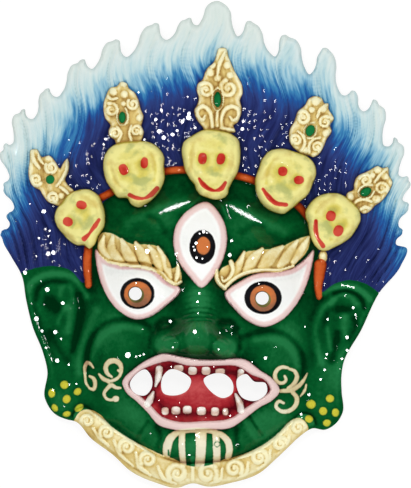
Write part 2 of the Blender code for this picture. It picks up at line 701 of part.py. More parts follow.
def fang_side(root, tip):
    """The edge of a fang from its root to its blunt tip."""
    run = np.subtract(tip, root)
    side = np.array((-run[1], run[0])) / np.hypot(*run) * FANG_BREADTH / 2
    corners = [root + run * along + side * (1 - (1 - FANG_TIP) * along) for along in (0.0, 0.5, 0.9)]
    other = [root + run * along - side * (1 - (1 - FANG_TIP) * along) for along in (0.9, 0.5, 0.0)]
    return np.array([*corners, np.add(root, run * 1.1), *other])


def seams():
    """The painted regions from below upwards: the name of each paint and the closed edge it fills."""
    beard = curve(BEARD, LONG_SEAM_STEP, closed=False)
    outer = beside(beard, BEARD_BREADTH * 1.2)
    found = [("green", curve(HAIRLINE, LONG_SEAM_STEP))]
    found += [("gold", ribbon(line, CHEEK_LINE, SEAM_STEP)) for line in CHEEK_SCROLLS]
    found += [("gold", ribbon(line, CHIN_BAND, LONG_SEAM_STEP)) for line in CHIN_BANDS]
    found.append(("gold", np.vstack((outer, beside(beard, -BEARD_BREADTH * 0.45)[::-1]))))
    for lid in (LEFT_LID, RIGHT_LID, THIRD_LID):
        loop = curve(lid, SEAM_STEP)
        middle = loop.mean(0)
        inset = 1 - LID_RIM / np.hypot(*(loop - middle).T)
        found += [("rose", loop), ("white", middle + (loop - middle) * inset[:, None])]
    found += [("black", ellipse(*ring, 16)) for ring in RINGS]
    found += [("orange", ellipse(*iris, 14)) for iris in IRISES]
    found += [("gold", curve(brow, SEAM_STEP)) for brow in (LEFT_BROW, RIGHT_BROW)]
    found += [("rose", curve(LIPS, SEAM_STEP)), ("red", curve(MOUTH, SEAM_STEP))]
    found += [("white", fang_side(*fang)) for fang in FANGS]
    found += [("white", circle(middle, TOOTH_BREADTH / 2, 8)) for middle in TEETH]
    for foot, top, breadth in LEAVES:
        across, along = mirrored(LEAF_SIDE).T
        run = np.subtract(top, foot).astype(float)
        side = np.array((-run[1], run[0])) * breadth / LEAF_BREADTH
        found.append(("gold", np.array(foot) + along[:, None] * run + across[:, None] * side))
    found.append(("orange", ribbon(BAND, BAND_BREADTH, SEAM_STEP)))
    found += [("orange", ribbon(line, RIBBON_BREADTH, SEAM_STEP)) for line in RIBBONS]
    for middle, lean, size in SKULLS:
        u, v = mirrored(SKULL_SIDE).T * size
        c, s = math.cos(math.radians(lean)), math.sin(math.radians(lean))
        found.append(("bone", np.column_stack((middle[0] + u * c - v * s, middle[1] + u * s + v * c))))
    return found


def seam_corners(holes):
    """Corners and sides of the seams where they show, clear of the edge, the openings and the skulls."""
    loops = [loop for _, loop in seams()]
    skulls = loops[-len(SKULLS) :]
    corners, sides = [], []
    for loop in loops:
        x, y = loop.T
        shown = depth_inside(EDGE, x, y, AROUND) > 2.5
        for hole in holes:
            shown &= depth_inside(hole, x, y, AROUND) < -1.5
        for skull in skulls:
            if skull is not loop:
                shown &= depth_inside(skull, x, y, AROUND) < -1.0
        place = len(corners) + np.cumsum(shown) - 1
        both = shown & np.roll(shown, -1)
        sides += np.column_stack((place, np.roll(place, -1)))[both].tolist()
        corners += loop[shown].tolist()
    return np.array(corners), sides


def lattice(step, holes, clear):
    """Places in rows of equal triangles, inside the edge and outside the holes by the clearance."""
    low, high = EDGE.min(0), EDGE.max(0)
    rows = np.arange(low[1], high[1], step * math.sqrt(0.75))
    columns = np.arange(low[0], high[0], step)
    x, y = np.meshgrid(columns, rows)
    x = x + (np.arange(len(rows)) % 2)[:, None] * step / 2
    x, y = x.ravel(), y.ravel()
    keep = depth_inside(EDGE, x, y, AROUND) > clear
    for hole in holes:
        keep &= depth_inside(hole, x, y, AROUND) < -clear
    return np.column_stack((x[keep], y[keep]))


def front_lattice(holes):
    """Places of the front between the seams."""
    places = lattice(FRONT_STEP, holes, FRONT_STEP * 0.6)
    for _, loop in seams():
        near = np.abs(depth_inside(loop, places[:, 0], places[:, 1], FRONT_STEP)) < FRONT_STEP * 0.4
        places = places[~near]
    return places


def hollow_lattice(holes):
    """Places inside the hollow, the nearest ones moved onto its foot, with their distance inside it."""
    places = lattice(BACK_STEP, holes, BACK_STEP * 0.4)
    x, y = places[:, 0], places[:, 1]
    inner = hollow_depth(x, y)
    step = 0.25
    lean_x = (hollow_depth(x + step, y) - hollow_depth(x - step, y)) / (2 * step)
    lean_y = (hollow_depth(x, y + step) - hollow_depth(x, y - step)) / (2 * step)
    foot = np.abs(inner) < BACK_STEP * 0.5
    far = inner * foot / np.maximum(lean_x**2 + lean_y**2, 0.5)
    places = places - np.column_stack((lean_x * far, lean_y * far))
    inner = np.where(foot, 0.0, inner)
    keep = inner >= 0.0
    return places[keep], inner[keep]


def triangulate(holes, corners, sides=()):
    """Triangles over the outline less the holes, the corners of the loops first and then the given ones."""
    loops = [EDGE, *holes]
    rim = sum(len(loop) for loop in loops)
    sides = [(a + rim, b + rim) for a, b in sides]
    start = 0
    for loop in loops:
        sides += [(start + i, start + (i + 1) % len(loop)) for i in range(len(loop))]
        start += len(loop)
    corners = [Vector(corner) for corner in np.vstack([*loops, corners]).tolist()]
    places, _, faces, _, _, _ = delaunay_2d_cdt(corners, sides, [], 0, 1e-6, False)
    places = np.array([tuple(place) for place in places])
    faces = np.array([tuple(face) for face in faces])
    middle = places[faces].mean(1)
    keep = depth_inside(EDGE, middle[:, 0], middle[:, 1], AROUND) > 0
    for hole in holes:
        keep &= depth_inside(hole, middle[:, 0], middle[:, 1], AROUND) < 0
    return places, faces[keep], rim


def world(places, height):
    """Chart places and heights in metres as points of the model."""
    x = (places[:, 0] - CHART_MIDDLE[0]) * UNIT
    y = (CHART_MIDDLE[1] - places[:, 1]) * UNIT
    return np.column_stack((x, y, height))


def mask_mesh():
    """One closed shell: the carved front, the hollow back and the walls round the edge and the openings.

    Also returns the corners that may move when faces are thinned out, none on the land, an edge or a seam.
    """
    holes = openings(OUTLINE_STEP)
    seam_places, seam_sides = seam_corners(holes)
    places = np.vstack((seam_places, front_lattice(holes)))
    front_places, front_faces, rim = triangulate(holes, places, seam_sides)
    inside = depth_inside(EDGE, front_places[:, 0], front_places[:, 1], AROUND)
    inside[: len(EDGE)] = 0.0
    top = world(front_places, front(front_places[:, 0], front_places[:, 1], inside))

    lattice_places, lattice_inner = hollow_lattice(holes)
    back_places, back_faces, _ = triangulate(holes, lattice_places)
    openings_inner = hollow_depth(*back_places[len(EDGE) : rim].T)
    inner = np.concatenate((np.zeros(len(EDGE)), openings_inner, lattice_inner))
    under = world(back_places, back(back_places[:, 0], back_places[:, 1], inner))

    base = len(top)
    faces = [tuple(face[::-1]) for face in front_faces.tolist()]
    back_start = len(faces)
    faces += [tuple(i + base for i in face) for face in back_faces.tolist()]
    wall_start = len(faces)
    start = 0
    # The loops all run the same way round the chart, so the walls of the openings are turned inwards.
    for number, loop in enumerate((EDGE, *holes)):
        for i in range(len(loop)):
            a, b = start + i, start + (i + 1) % len(loop)
            wall = (a, b, b + base, a + base)
            faces.append(wall if number == 0 else wall[::-1])
        start += len(loop)
    mesh = bpy.data.meshes.new("mask")
    mesh.from_pydata(np.vstack((top, under)).tolist(), [], faces)
    colours = np.full(len(faces), list(PAINTS).index("resin"))
    colours[:back_start] = paint(front_places[front_faces].mean(1))
    colours[wall_start:] = paint(np.vstack([(loop + np.roll(loop, -1, 0)) / 2 for loop in (EDGE, *holes)]))
    mesh.polygons.foreach_set("material_index", colours.astype(np.int32))
    free_back = base + rim + np.nonzero(lattice_inner > 0.0)[0]
    return mesh, [*range(rim + len(seam_places), base), *free_back.tolist()]


def paint(places):
    """The paint at each chart place, as an index into the paints."""
    names = list(PAINTS)
    colour = np.full(len(places), names.index("blue"))
    for name, loop in seams():
        colour[depth_inside(loop, *places.T, 1.0) > 0] = names.index(name)
    return colour


def clear_scene():
    for thing in list(bpy.data.objects):
        bpy.data.objects.remove(thing, do_unlink=True)


def material(name, colour, roughness):
    made = bpy.data.materials.new(name)
    made.use_nodes = True
    shader = made.node_tree.nodes["Principled BSDF"]
    shader.inputs["Base Color"].default_value = (*colour, 1.0)
    shader.inputs["Roughness"].default_value = roughness
    shader.inputs["Metallic"].default_value = 0.0
    return made


def main():
    clear_scene()
    mesh, free = mask_mesh()
    for name, colour in PAINTS.items():
        mesh.materials.append(material(name, colour, GLOSS))
    mask = bpy.data.objects.new("mask", mesh)
    bpy.context.scene.collection.objects.link(mask)
    mask.vertex_groups.new(name="free").add(free, 1.0, "REPLACE")
    thin = mask.modifiers.new("fewer faces", "DECIMATE")
    thin.vertex_group = "free"
    thin.ratio = TRIANGLES / sum(len(face.vertices) - 2 for face in mesh.polygons)
    thin.use_collapse_triangulate = True
    mesh.shade_smooth()
    mesh.set_sharp_from_angle(angle=math.radians(SHARP_ANGLE))


if __name__ == "__main__":
    main()
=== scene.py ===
import math

import bpy
import numpy as np
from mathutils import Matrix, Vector
from mathutils.geometry import delaunay_2d_cdt

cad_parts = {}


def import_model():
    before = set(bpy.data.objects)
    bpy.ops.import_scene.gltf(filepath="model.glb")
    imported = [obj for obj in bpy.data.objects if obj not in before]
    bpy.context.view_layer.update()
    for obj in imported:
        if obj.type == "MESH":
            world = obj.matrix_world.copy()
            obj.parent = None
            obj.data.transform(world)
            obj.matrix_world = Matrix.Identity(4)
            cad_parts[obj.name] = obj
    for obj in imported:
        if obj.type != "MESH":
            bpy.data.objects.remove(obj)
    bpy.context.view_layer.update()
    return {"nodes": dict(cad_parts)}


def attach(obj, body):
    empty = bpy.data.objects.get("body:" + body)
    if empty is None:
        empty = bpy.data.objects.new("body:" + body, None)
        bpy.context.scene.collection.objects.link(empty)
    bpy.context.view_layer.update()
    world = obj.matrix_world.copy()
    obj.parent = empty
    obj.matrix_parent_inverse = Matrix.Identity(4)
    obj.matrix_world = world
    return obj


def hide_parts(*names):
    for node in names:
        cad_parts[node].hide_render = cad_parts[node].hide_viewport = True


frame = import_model()
print("frame loaded:", ", ".join(frame["nodes"]))

# The carving is laid out on a chart of about 487 units from the top flame to the chin, x to the right
# and y down. Rises and sinks are in carver's millimetres, which grow with the mask.
mask = {
    "height": 0.300,  # in metres, as all down to the round of the edge
    "noseHeight": 0.086,
    "wall": 0.0045,
    "hairEdge": 0.007,
    "rimLand": 0.009,
    "pupilBore": 0.0080,
    "edgeRound": 0.0035,
    "fineStep": 1.13,  # spacing of the corners on carved ornament, in chart units
    "plainStep": 1.65,
    "backStep": 4.0,
    "edgeStep": 1.6,
    "sharpAngle": 42.0,
}
carved = mask["height"] / 300.0
paintReach = 4.0


def smoothCurve(points, step, closed=True):
    p = np.array(points, float)
    if closed:
        p = np.vstack((p[-1:], p, p[:2]))
    else:
        p = np.vstack((2 * p[:1] - p[1:2], p, 2 * p[-1:] - p[-2:-1]))
    chord = np.hypot(*np.diff(p, axis=0).T)[:, None]
    slope = np.diff(p, axis=0) / chord
    lean = (slope[:-1] * chord[1:] + slope[1:] * chord[:-1]) / (chord[:-1] + chord[1:])
    out = []
    for start, end, along, startLean, endLean in zip(p[1:-2], p[2:-1], chord[1:-1], lean[:-1], lean[1:]):
        pieces = max(1, round(float(along[0]) / step))
        t = np.arange(pieces)[:, None] / pieces
        rise = t * t * (3 - 2 * t)
        bend = along * t * (1 - t) * (startLean * (1 - t) - endLean * t)
        out.append(start + (end - start) * rise + bend)
    if not closed:
        out.append(p[-2:-1])
    return np.vstack(out)


def ellipseLoop(middle, wide, tall, sides=40):
    turns = np.arange(sides) * 2 * math.pi / sides
    return np.column_stack((middle[0] + wide * np.cos(turns), middle[1] + tall * np.sin(turns)))


def depthInside(loop, x, y, reach):
    # distance to a closed loop, positive inside it and never more than the reach
    depth = np.full(x.shape, -float(reach))
    low, high = loop.min(0) - reach, loop.max(0) + reach
    near = (x > low[0]) & (x < high[0]) & (y > low[1]) & (y < high[1])
    px, py = x[near], y[near]
    best = np.full(px.shape, float(reach) ** 2)
    inside = np.zeros(px.shape, bool)
    for (ax, ay), (bx, by) in zip(loop, np.roll(loop, -1, 0)):
        ex, ey = bx - ax, by - ay
        along = np.clip(((px - ax) * ex + (py - ay) * ey) / (ex * ex + ey * ey), 0.0, 1.0)
        gap = (px - ax - along * ex) ** 2 + (py - ay - along * ey) ** 2
        np.minimum(best, gap, out=best)
        if ay != by:
            inside ^= ((ay > py) != (by > py)) & (px < ax + (py - ay) * ex / ey)
    depth[near] = np.where(inside, np.sqrt(best), -np.sqrt(best))
    return depth


def gapToLine(line, x, y, reach):
    # distance to an open line, and the share of the line at the nearest place
    gap = np.full(x.shape, float(reach))
    share = np.zeros(x.shape)
    low, high = line.min(0) - reach, line.max(0) + reach
    near = (x > low[0]) & (x < high[0]) & (y > low[1]) & (y < high[1])
    px, py = x[near], y[near]
    best = np.full(px.shape, float(reach) ** 2)
    place = np.zeros(px.shape)
    for i, ((ax, ay), (bx, by)) in enumerate(zip(line[:-1], line[1:])):
        ex, ey = bx - ax, by - ay
        along = np.clip(((px - ax) * ex + (py - ay) * ey) / (ex * ex + ey * ey), 0.0, 1.0)
        here = (px - ax - along * ex) ** 2 + (py - ay - along * ey) ** 2
        closer = here < best
        best[closer] = here[closer]
        place[closer] = (i + along[closer]) / (len(line) - 1)
    gap[near] = np.sqrt(best)
    share[near] = place
    return gap, share


def strokeDepth(points, widths, x, y, step=1.5, margin=4.0):
    # how far inside a brush or chisel stroke: its widths are spread evenly from start to end
    line = smoothCurve(points, step, closed=False)
    gap, share = gapToLine(line, x, y, max(widths) / 2 + margin)
    half = np.interp(share, np.linspace(0, 1, len(widths)), widths) / 2
    return half - gap, half


def smoothStep(value, start, end):
    t = np.clip((value - start) / (end - start), 0.0, 1.0)
    return t * t * (3 - 2 * t)


def pillow(depth, breadth):
    # 0 at an edge, rising in a quarter round to 1 at the breadth inside it
    t = 1 - np.clip(depth / breadth, 0.0, 1.0)
    return np.sqrt(1 - t * t)


def roll(gap, breadth):
    t = np.clip(gap / (breadth / 2), 0.0, 1.0)
    return np.sqrt(1 - t * t)


def swell(x, y, middle, spread, turn=0.0):
    c, s = math.cos(math.radians(turn)), math.sin(math.radians(turn))
    dx, dy = x - middle[0], y - middle[1]
    u, v = (dx * c + dy * s) / spread[0], (dy * c - dx * s) / spread[1]
    return np.exp(-u * u - v * v)


def roundSpot(x, y, middle, wide, tall, turn=0.0, square=2.0):
    # how far inside a round or squarish spot
    c, s = math.cos(math.radians(turn)), math.sin(math.radians(turn))
    dx, dy = x - middle[0], y - middle[1]
    u, v = np.abs(dx * c + dy * s) / wide, np.abs(dy * c - dx * s) / tall
    return (1 - (u**square + v**square) ** (1 / square)) * min(wide, tall)


def softStrokes(z, x, y, strokes):
    # broad folds and valleys with no edge of their own
    for points, half, rise in strokes:
        line = smoothCurve(points, 3.0, closed=False)
        gap, _ = gapToLine(line, x, y, half * 3)
        z = z + rise * carved * np.exp(-((gap / half) ** 2))
    return z


# Flames of the crown, clockwise from the left ear: tip, breadth of the tip, the notch after it, and how
# full the flank is before and after the tip
crown = {
    "flames": (
        (1.7, 231, 3, 9.0, 227, 0.14, -0.03),
        (6.7, 215, 4, 14.0, 209, -0.07, 0.0),
        (3.3, 185, 5, 9.5, 178, 0.02, -0.01),
        (3.5, 146, 7, 13.0, 143, 0.125, -0.04),
        (21.5, 110, 6, 32.5, 119, 0.15, -0.08),
        (45.5, 89, 7, 57.0, 97, 0.015, -0.015),
        (80.5, 60, 8, 91.5, 69, 0.045, 0.045),
        (115.5, 39.5, 7, 126, 57, 0.065, -0.01),
        (155, 23, 6, 166, 40, 0.035, -0.025),
        (188, 18, 6, 197, 25.5, 0.01, -0.03),
        (217.5, 1, 16, 238, 36.5, 0.105, 0.10),
        (250.5, 21, 6, 275.5, 56.5, 0.015, 0.01),
        (286, 35, 7, 309.5, 74.5, 0.085, 0.09),
        (326.5, 48, 7, 343.5, 95.5, 0.05, 0.02),
        (354.5, 91, 6, 363.5, 111.5, 0.0, -0.045),
        (377, 101, 7, 384.5, 146, 0.015, 0.09),
        (397, 139, 6, 399, 175.5, -0.12, 0.135),
        (408.5, 178, 5, 402.5, 200, -0.01, 0.11),
        (409, 205, 4, 398.5, 225.5, 0.06, -0.015),
        (402.7, 230.5, 3, 395.7, 243.5, -0.04, -0.01),
    ),
    "lastFlame": (406.5, 248),
    # shares of the breadth of a tip: half its width, and how far its long and its short side fall
    "tipHalf": 0.45,
    "tipFalls": (0.07, 0.3),
    "flankPlaces": (0.2, 0.4, 0.6, 0.8),
    "flankClear": (2.0, 0.7),  # from the notch in chart units, from the tip in shares of its breadth
    "flankTurn": 0.075,  # how far a flank hollows out by its notch and fills again by its tip
    "hairline": (
        (14, 277), (24, 272), (38, 267.5), (54, 266), (70, 270), (84, 283), (88, 262), (93, 240),
        (98, 210), (118, 191), (150, 172), (185, 173), (211, 176), (240, 177), (266, 186), (296, 204),
        (309, 224), (318, 250), (322, 292), (334, 284), (350, 280), (366, 284), (384, 296), (430, 300),
        (430, 520), (-20, 520), (-20, 290),
    ),
    "centre": (203.0, 290.0),
    "roots": (203.0, 520.0),  # the locks fan out from far below the face
    "turnIn": (0.45, 0.22),  # how far they turn in towards the top, left and right
    "turnReach": 0.3,
    "turnPace": 2.2,
    "bend": 0.011,
    "wave": 14.0,
    "start": 10.0,
    "sidelock": 0.15,
    "sidelocks": 5.0,
    "rise": 2.4,
    "strands": (7, 11),  # ridges on each flame near the brow and near the tip
    "strandRise": 0.4,
    "lockShare": 0.7,
    "lockSoft": 0.03,  # how round the valleys between the locks and the strands are
    "strandSoft": 0.04,
    "lockLevel": 0.6,  # height that counts as neither ridge nor valley
    "strandLevel": 0.5,
    "fineFrom": (0.62, 0.85),  # share of the reach where the finer strands take over
    # how the strands wander: how far, over what reach and how that shifts from lock to lock
    "drifts": ((0.35, 17.0, 1.7), (0.15, 7.3, 4.1)),
    "paintDrift": 0.12,
    "streakReach": 60.0,
    "toneRange": (-0.45, 3.0),
    # share of the cells with a drop: anywhere, more near the roots, where that ends, and thinner at the sides
    "drops": (0.07, 0.50),
    "dropsEnd": (0.60, 0.80),
    "dropsAside": (45, 62),
    "dropsLost": 0.7,
    # how the navy fades: degrees from the top, share of the reach that is still navy and that is pale
    "fade": (
        (-95, 1.0, 1.25), (-85, 1.0, 1.2), (-75, 0.945, 1.12), (-65, 0.87, 1.03), (-55, 0.775, 0.915),
        (-45, 0.722, 0.862), (-35, 0.768, 0.90), (-25, 0.745, 0.875), (-15, 0.72, 0.85), (-5, 0.725, 0.85),
        (5, 0.715, 0.835), (15, 0.75, 0.888), (25, 0.74, 0.895), (35, 0.745, 0.915), (45, 0.755, 0.90),
        (55, 0.785, 0.93), (65, 0.80, 0.935), (75, 0.905, 1.10), (85, 0.915, 1.12), (100, 0.97, 1.25),
    ),
}

# The edge below the crown, from the right ear round the beard to the left ear
lowerEdge = (
    (400.5, 266), (379, 293), (361, 330), (343, 364), (341.2, 378), (341.6, 392), (342.6, 412),
    (336, 423), (325, 429.5), (312, 428.2), (301, 435), (288, 447), (276, 458.5), (259, 473),
    (231, 482.5), (207, 486.2), (193, 483), (177, 487.5), (156, 482.5), (131, 471),
    (113, 454.5), (91, 438), (76, 421.5), (66, 419), (56, 414.5), (45, 398), (47.5, 371), (43, 352),
    (33, 327), (26.3, 300), (22, 276), (11, 256), (3, 241),
)


def flank(notch, tip, fullness, breadth):
    rise = tip - notch
    length = np.hypot(*rise)
    out = np.array((rise[1], -rise[0]))
    points = []
    fromNotch, fromTip = crown["flankClear"]
    for share in crown["flankPlaces"]:
        if share * length > fromNotch and (1 - share) * length > breadth * fromTip:
            swing = fullness * 4 * share * (1 - share) - crown["flankTurn"] * math.sin(2 * math.pi * share)
            points.append((notch + rise * share, out * swing))
    return points


def crownPoints():
    # each flame rises in a hollow, then full curve to its tip and falls the same way to the next notch
    points = []
    notch = np.array(lowerEdge[-1], float)
    for tipX, tipY, breadth, notchX, notchY, riseFull, fallFull in crown["flames"]:
        tip = np.array((tipX, tipY), float)
        after = np.array((notchX, notchY), float)
        across = after - notch
        across /= np.hypot(*across)
        out = np.array((across[1], -across[0]))
        longRise = np.hypot(*(tip - notch)) > np.hypot(*(tip - after))
        points += [place + swing for place, swing in flank(notch, tip, riseFull, breadth)]
        rising, falling = crown["tipFalls"] if longRise else crown["tipFalls"][::-1]
        half = across * breadth * crown["tipHalf"]
        points += [tip - half - out * breadth * rising, tip, tip + half - out * breadth * falling]
        points += [place - swing for place, swing in flank(after, tip, fallFull, breadth)][::-1]
        points.append(after)
        notch = after
    points.append(crown["lastFlame"])
    return points


def outline(step):
    return smoothCurve([*crownPoints(), *lowerEdge], step)


chartEdge = outline(4.0)
chartMiddle = (chartEdge.min(0) + chartEdge.max(0)) / 2
unit = mask["height"] / np.ptp(chartEdge[:, 1])
edge = outline(mask["edgeStep"])

# Broad form of the mask: shares of the height of the nose
face = {
    "swells": (
        ((133, 250), (46, 17), 8, 0.075),  # left brow
        ((270, 254), (46, 17), -8, 0.075),  # right brow
        ((203, 268), (20, 30), 0, 0.035),  # root of the brows
        ((139, 293), (33, 24), 0, 0.075),  # left eyeball
        ((265, 298), (35, 25), 0, 0.075),  # right eyeball
        ((199, 308), (16, 26), 0, 0.12),  # bridge of the nose
        ((197, 338), (22, 17), 0, 0.29),  # tip of the nose
        ((167, 344), (12.5, 11), 0, 0.17),  # left wing
        ((225, 347), (12.5, 11), 0, 0.17),  # right wing
        ((112, 335), (28, 26), 0, 0.06),  # left cheek
        ((288, 340), (28, 26), 0, 0.06),  # right cheek
        ((199, 390), (78, 40), 0, 0.11),  # muzzle
        ((197, 449), (36, 19), 0, 0.17),  # chin
    ),
    "noseTip": (197.0, 338.0),
    "headCentre": (199.0, 318.0),
    "headReach": (128.0, 152.0, 160.0),
    "headRise": 0.60,
    "skirtCentre": (205.5, 285.0),
    "skirtReach": (213.0, 285.0),
    "skirtRise": 0.26,
    "skirtRound": 1.3,
    "blend": 0.07,
    "mouthSink": 0.13,
    "hollow": (
        (32, 222), (36, 178), (58, 134), (94, 98), (140, 72), (192, 60), (240, 66), (290, 92), (332, 130),
        (362, 178), (372, 226), (360, 262), (330, 300), (318, 350), (312, 396), (286, 426), (246, 450),
        (196, 460), (148, 450), (106, 424), (80, 392), (70, 350), (62, 300), (42, 262),
    ),
    "hollowSlope": 1.1,
}


def bodyShare(x, y):
    (skirtX, skirtY), (reachX, reachY) = face["skirtCentre"], face["skirtReach"]
    q = np.hypot((x - skirtX) / reachX, (y - skirtY) / reachY)
    soft = face["skirtRound"]
    skirt = face["skirtRise"] * soft * np.tanh(np.clip((1 - q) * 2, 0.0, None) / soft)
    wide, up, down = face["headReach"]
    dy = y - face["headCentre"][1]
    r = np.hypot((x - face["headCentre"][0]) / wide, dy / np.where(dy < 0, up, down))
    head = face["headRise"] * np.clip(1 - r * r, 0.0, 1.0) ** 0.75
    mix = np.clip(0.5 + 0.5 * (head - skirt) / face["blend"], 0.0, 1.0)
    share = skirt * (1 - mix) + head * mix + face["blend"] * mix * (1 - mix)
    for middle, spread, turn, rise in face["swells"]:
        share = share + rise * swell(x, y, middle, spread, turn)
    mouth = depthInside(smoothCurve(jaws["mouth"], 4.0), x, y, 12.0)
    return share - face["mouthSink"] * smoothStep(mouth, -2.0, 9.0)


def body(x, y):
    # height of the uncarved front in metres
    tipX, tipY = face["noseTip"]
    full = bodyShare(np.array([tipX]), np.array([tipY]))[0]
    return mask["hairEdge"] + (mask["noseHeight"] - mask["hairEdge"]) * bodyShare(x, y) / full


def hairFlow(x, y):
    # which flame and how far across it, and the share of the way to the tips
    flames = crown["flames"]
    tips = np.array([row[:2] for row in flames] + [crown["lastFlame"]], float)
    notches = np.array([lowerEdge[-1]] + [row[3:5] for row in flames], float)
    corners = np.empty((len(tips) + len(notches), 2))
    corners[0::2], corners[1::2] = notches, tips
    cx, cy = crown["centre"]
    angle = np.arctan2(x - cx, cy - y)
    tipAngles = np.arctan2(tips[:, 0] - cx, cy - tips[:, 1])
    share = np.hypot(x - cx, y - cy) / np.interp(angle, tipAngles, np.hypot(tips[:, 0] - cx, tips[:, 1] - cy))
    rootX, rootY = crown["roots"]
    fan = np.arctan2(x - rootX, rootY - y)
    reach = np.hypot(x - rootX, y - rootY)
    turnIn = np.where(fan < 0, *crown["turnIn"]) * np.clip(1 - share, 0.0, crown["turnReach"])
    bent = fan - turnIn * np.sin(crown["turnPace"] * fan) + crown["bend"] * np.sin(reach / crown["wave"])
    # the locks go on at the same pace below the last flames
    angles = np.arctan2(corners[:, 0] - rootX, rootY - corners[:, 1])
    angles = np.concatenate(([angles[0] - crown["sidelock"]], angles, [angles[-1] + crown["sidelock"]]))
    steps = np.arange(len(angles), dtype=float)
    steps[0], steps[-1] = -crown["sidelocks"], steps[-1] + crown["sidelocks"]
    phase = np.interp(bent, angles, steps)
    return phase, share, np.degrees(angle), reach


def carveHair(z, x, y, edgeDepth, paint):
    phase, share, degrees, reach = hairFlow(x, y)
    faceDepth = depthInside(smoothCurve(crown["hairline"], 4.0), x, y, 12.0)
    paint["faceGreen"] = np.clip(faceDepth, -paintReach, paintReach)
    amount = smoothStep(-faceDepth, 0.0, crown["start"])
    lock = np.sqrt(np.sin(phase * math.pi / 2) ** 2 + crown["lockSoft"])
    drift = sum(far * np.sin(reach / over + phase * shift) for far, over, shift in crown["drifts"])
    waves = [np.sin(phase * math.pi / 2 * count + drift) for count in crown["strands"]]
    coarse, fine = [np.sqrt(wave**2 + crown["strandSoft"]) for wave in waves]
    outer = smoothStep(share, *crown["fineFrom"])
    strand = coarse * (1 - outer) + fine * outer
    rise = crown["rise"] * crown["lockShare"] * (lock - crown["lockLevel"])
    rise = rise + crown["strandRise"] * (strand - crown["strandLevel"])
    z = z + amount * carved * rise
    places, navyTo, paleAt = np.array(crown["fade"]).T
    navy, pale = np.interp(degrees, places, navyTo), np.interp(degrees, places, paleAt)
    paint["hairTone"] = np.clip((share - navy) / (pale - navy), *crown["toneRange"])
    paint["hairAcross"] = phase + drift * crown["paintDrift"]
    paint["hairAlong"] = reach / crown["streakReach"]
    few, more = crown["drops"]
    near, far = crown["dropsEnd"]
    aside = 1 - crown["dropsLost"] * smoothStep(np.abs(degrees), *crown["dropsAside"])
    paint["dropShare"] = few + more * smoothStep(-share, -far, -near) * aside
    return z - mask["edgeRound"] * (1 - pillow(edgeDepth, mask["edgeRound"] / unit))


ears = {
    # soft folds and valleys: points, half width and rise
    "folds": (
        (((28, 288), (28, 302), (32, 320), (38, 340), (46, 362)), 4.2, 1.5),
        (((27, 290), (33, 281.5), (41, 276.5), (50, 274.0), (60, 273.6), (71, 276), (80, 284.5), (87, 296)),
         4.2, 2.4),
        (((60, 295), (62, 287), (67, 284.5), (72, 290), (74, 299)), 3.4, 1.0),
        (((69, 308), (70, 318), (68, 330)), 5.4, 2.0),
        (((58, 323), (61, 314), (66, 307)), 3.0, 1.2),
        (((96, 310), (90, 324), (84, 339), (80, 356), (79, 372)), 5.0, 1.7),
        (((323, 293), (332, 288.5), (342, 286.4), (355, 288), (366, 295), (373, 302)), 4.0, 2.4),
        (((331, 304), (336, 297.5), (343, 295), (351, 297.5), (356, 304)), 3.4, 1.3),
        (((332, 300), (324, 307), (318.5, 316), (315.5, 329), (317, 346), (321, 362)), 4.4, 2.0),
        (((327, 328), (328.5, 338), (331, 350)), 2.8, 1.2),
        (((344, 315), (344, 324), (343, 333)), 5.6, 2.0),
        (((374, 303), (367, 316), (357, 334), (347, 352), (341, 370)), 3.6, 1.4),
        (((36, 300), (38.5, 289), (47, 282.5), (57, 281.5), (66, 283)), 3.0, -1.3),
        (((78, 296), (82, 307), (80, 320), (77, 333), (73, 350)), 4.4, -2.1),
        (((34, 306), (40, 324), (48, 344), (56, 362)), 3.6, -1.0),
        (((50, 334), (57, 347), (66, 358)), 6.0, -2.0),
        (((334, 293), (344, 290.5), (355, 293.5), (362, 300), (364, 308)), 2.2, -1.6),
        (((338, 334), (335, 346), (332, 360)), 4.6, -2.4),
        (((354, 318), (356, 328), (350, 340)), 3.8, -1.4),
    ),
    # hollows: middle, spreads, turn and depth
    "hollows": (
        ((50, 303), (8, 9), -20, 3.0), ((57, 309), (5, 6), 0, 1.2), ((343, 309.5), (9, 4.6), 0, 2.8),
        ((326, 318), (3, 9), 10, 0.8),
    ),
    "lobes": (((63, 399), 21, 24), ((322, 409), 22, 22)),
    "lobeRise": 3.6,
    "lobeSpread": 0.75,
    # yellow dots: middle, half width, half height, turn
    "dots": (
        (64.6, 384.5, 5.0, 4.8, 0), (77.8, 391.4, 4.8, 4.2, -35), (66.9, 398.9, 5.2, 4.6, -60),
        (52.0, 393.0, 4.2, 5.2, 0), (79.3, 407.5, 6.2, 4.0, -35), (55.0, 407.6, 3.6, 5.0, -30),
        (66.9, 413.8, 5.2, 3.6, -10), (329.7, 398.2, 4.8, 4.6, 0), (310.8, 404.0, 5.4, 5.2, 0),
        (322.9, 410.8, 4.8, 4.8, 0), (335.2, 412.3, 4.4, 5.0, 0), (308.8, 418.6, 5.0, 4.4, 20),
        (326.6, 422.6, 5.0, 4.2, -10),
    ),
    "dotRise": 1.5,
    "dotShy": 0.8,  # how much smaller a dot is painted than it was laid out
    "foldShare": 0.68,  # how much of the folds and hollows is carved
}


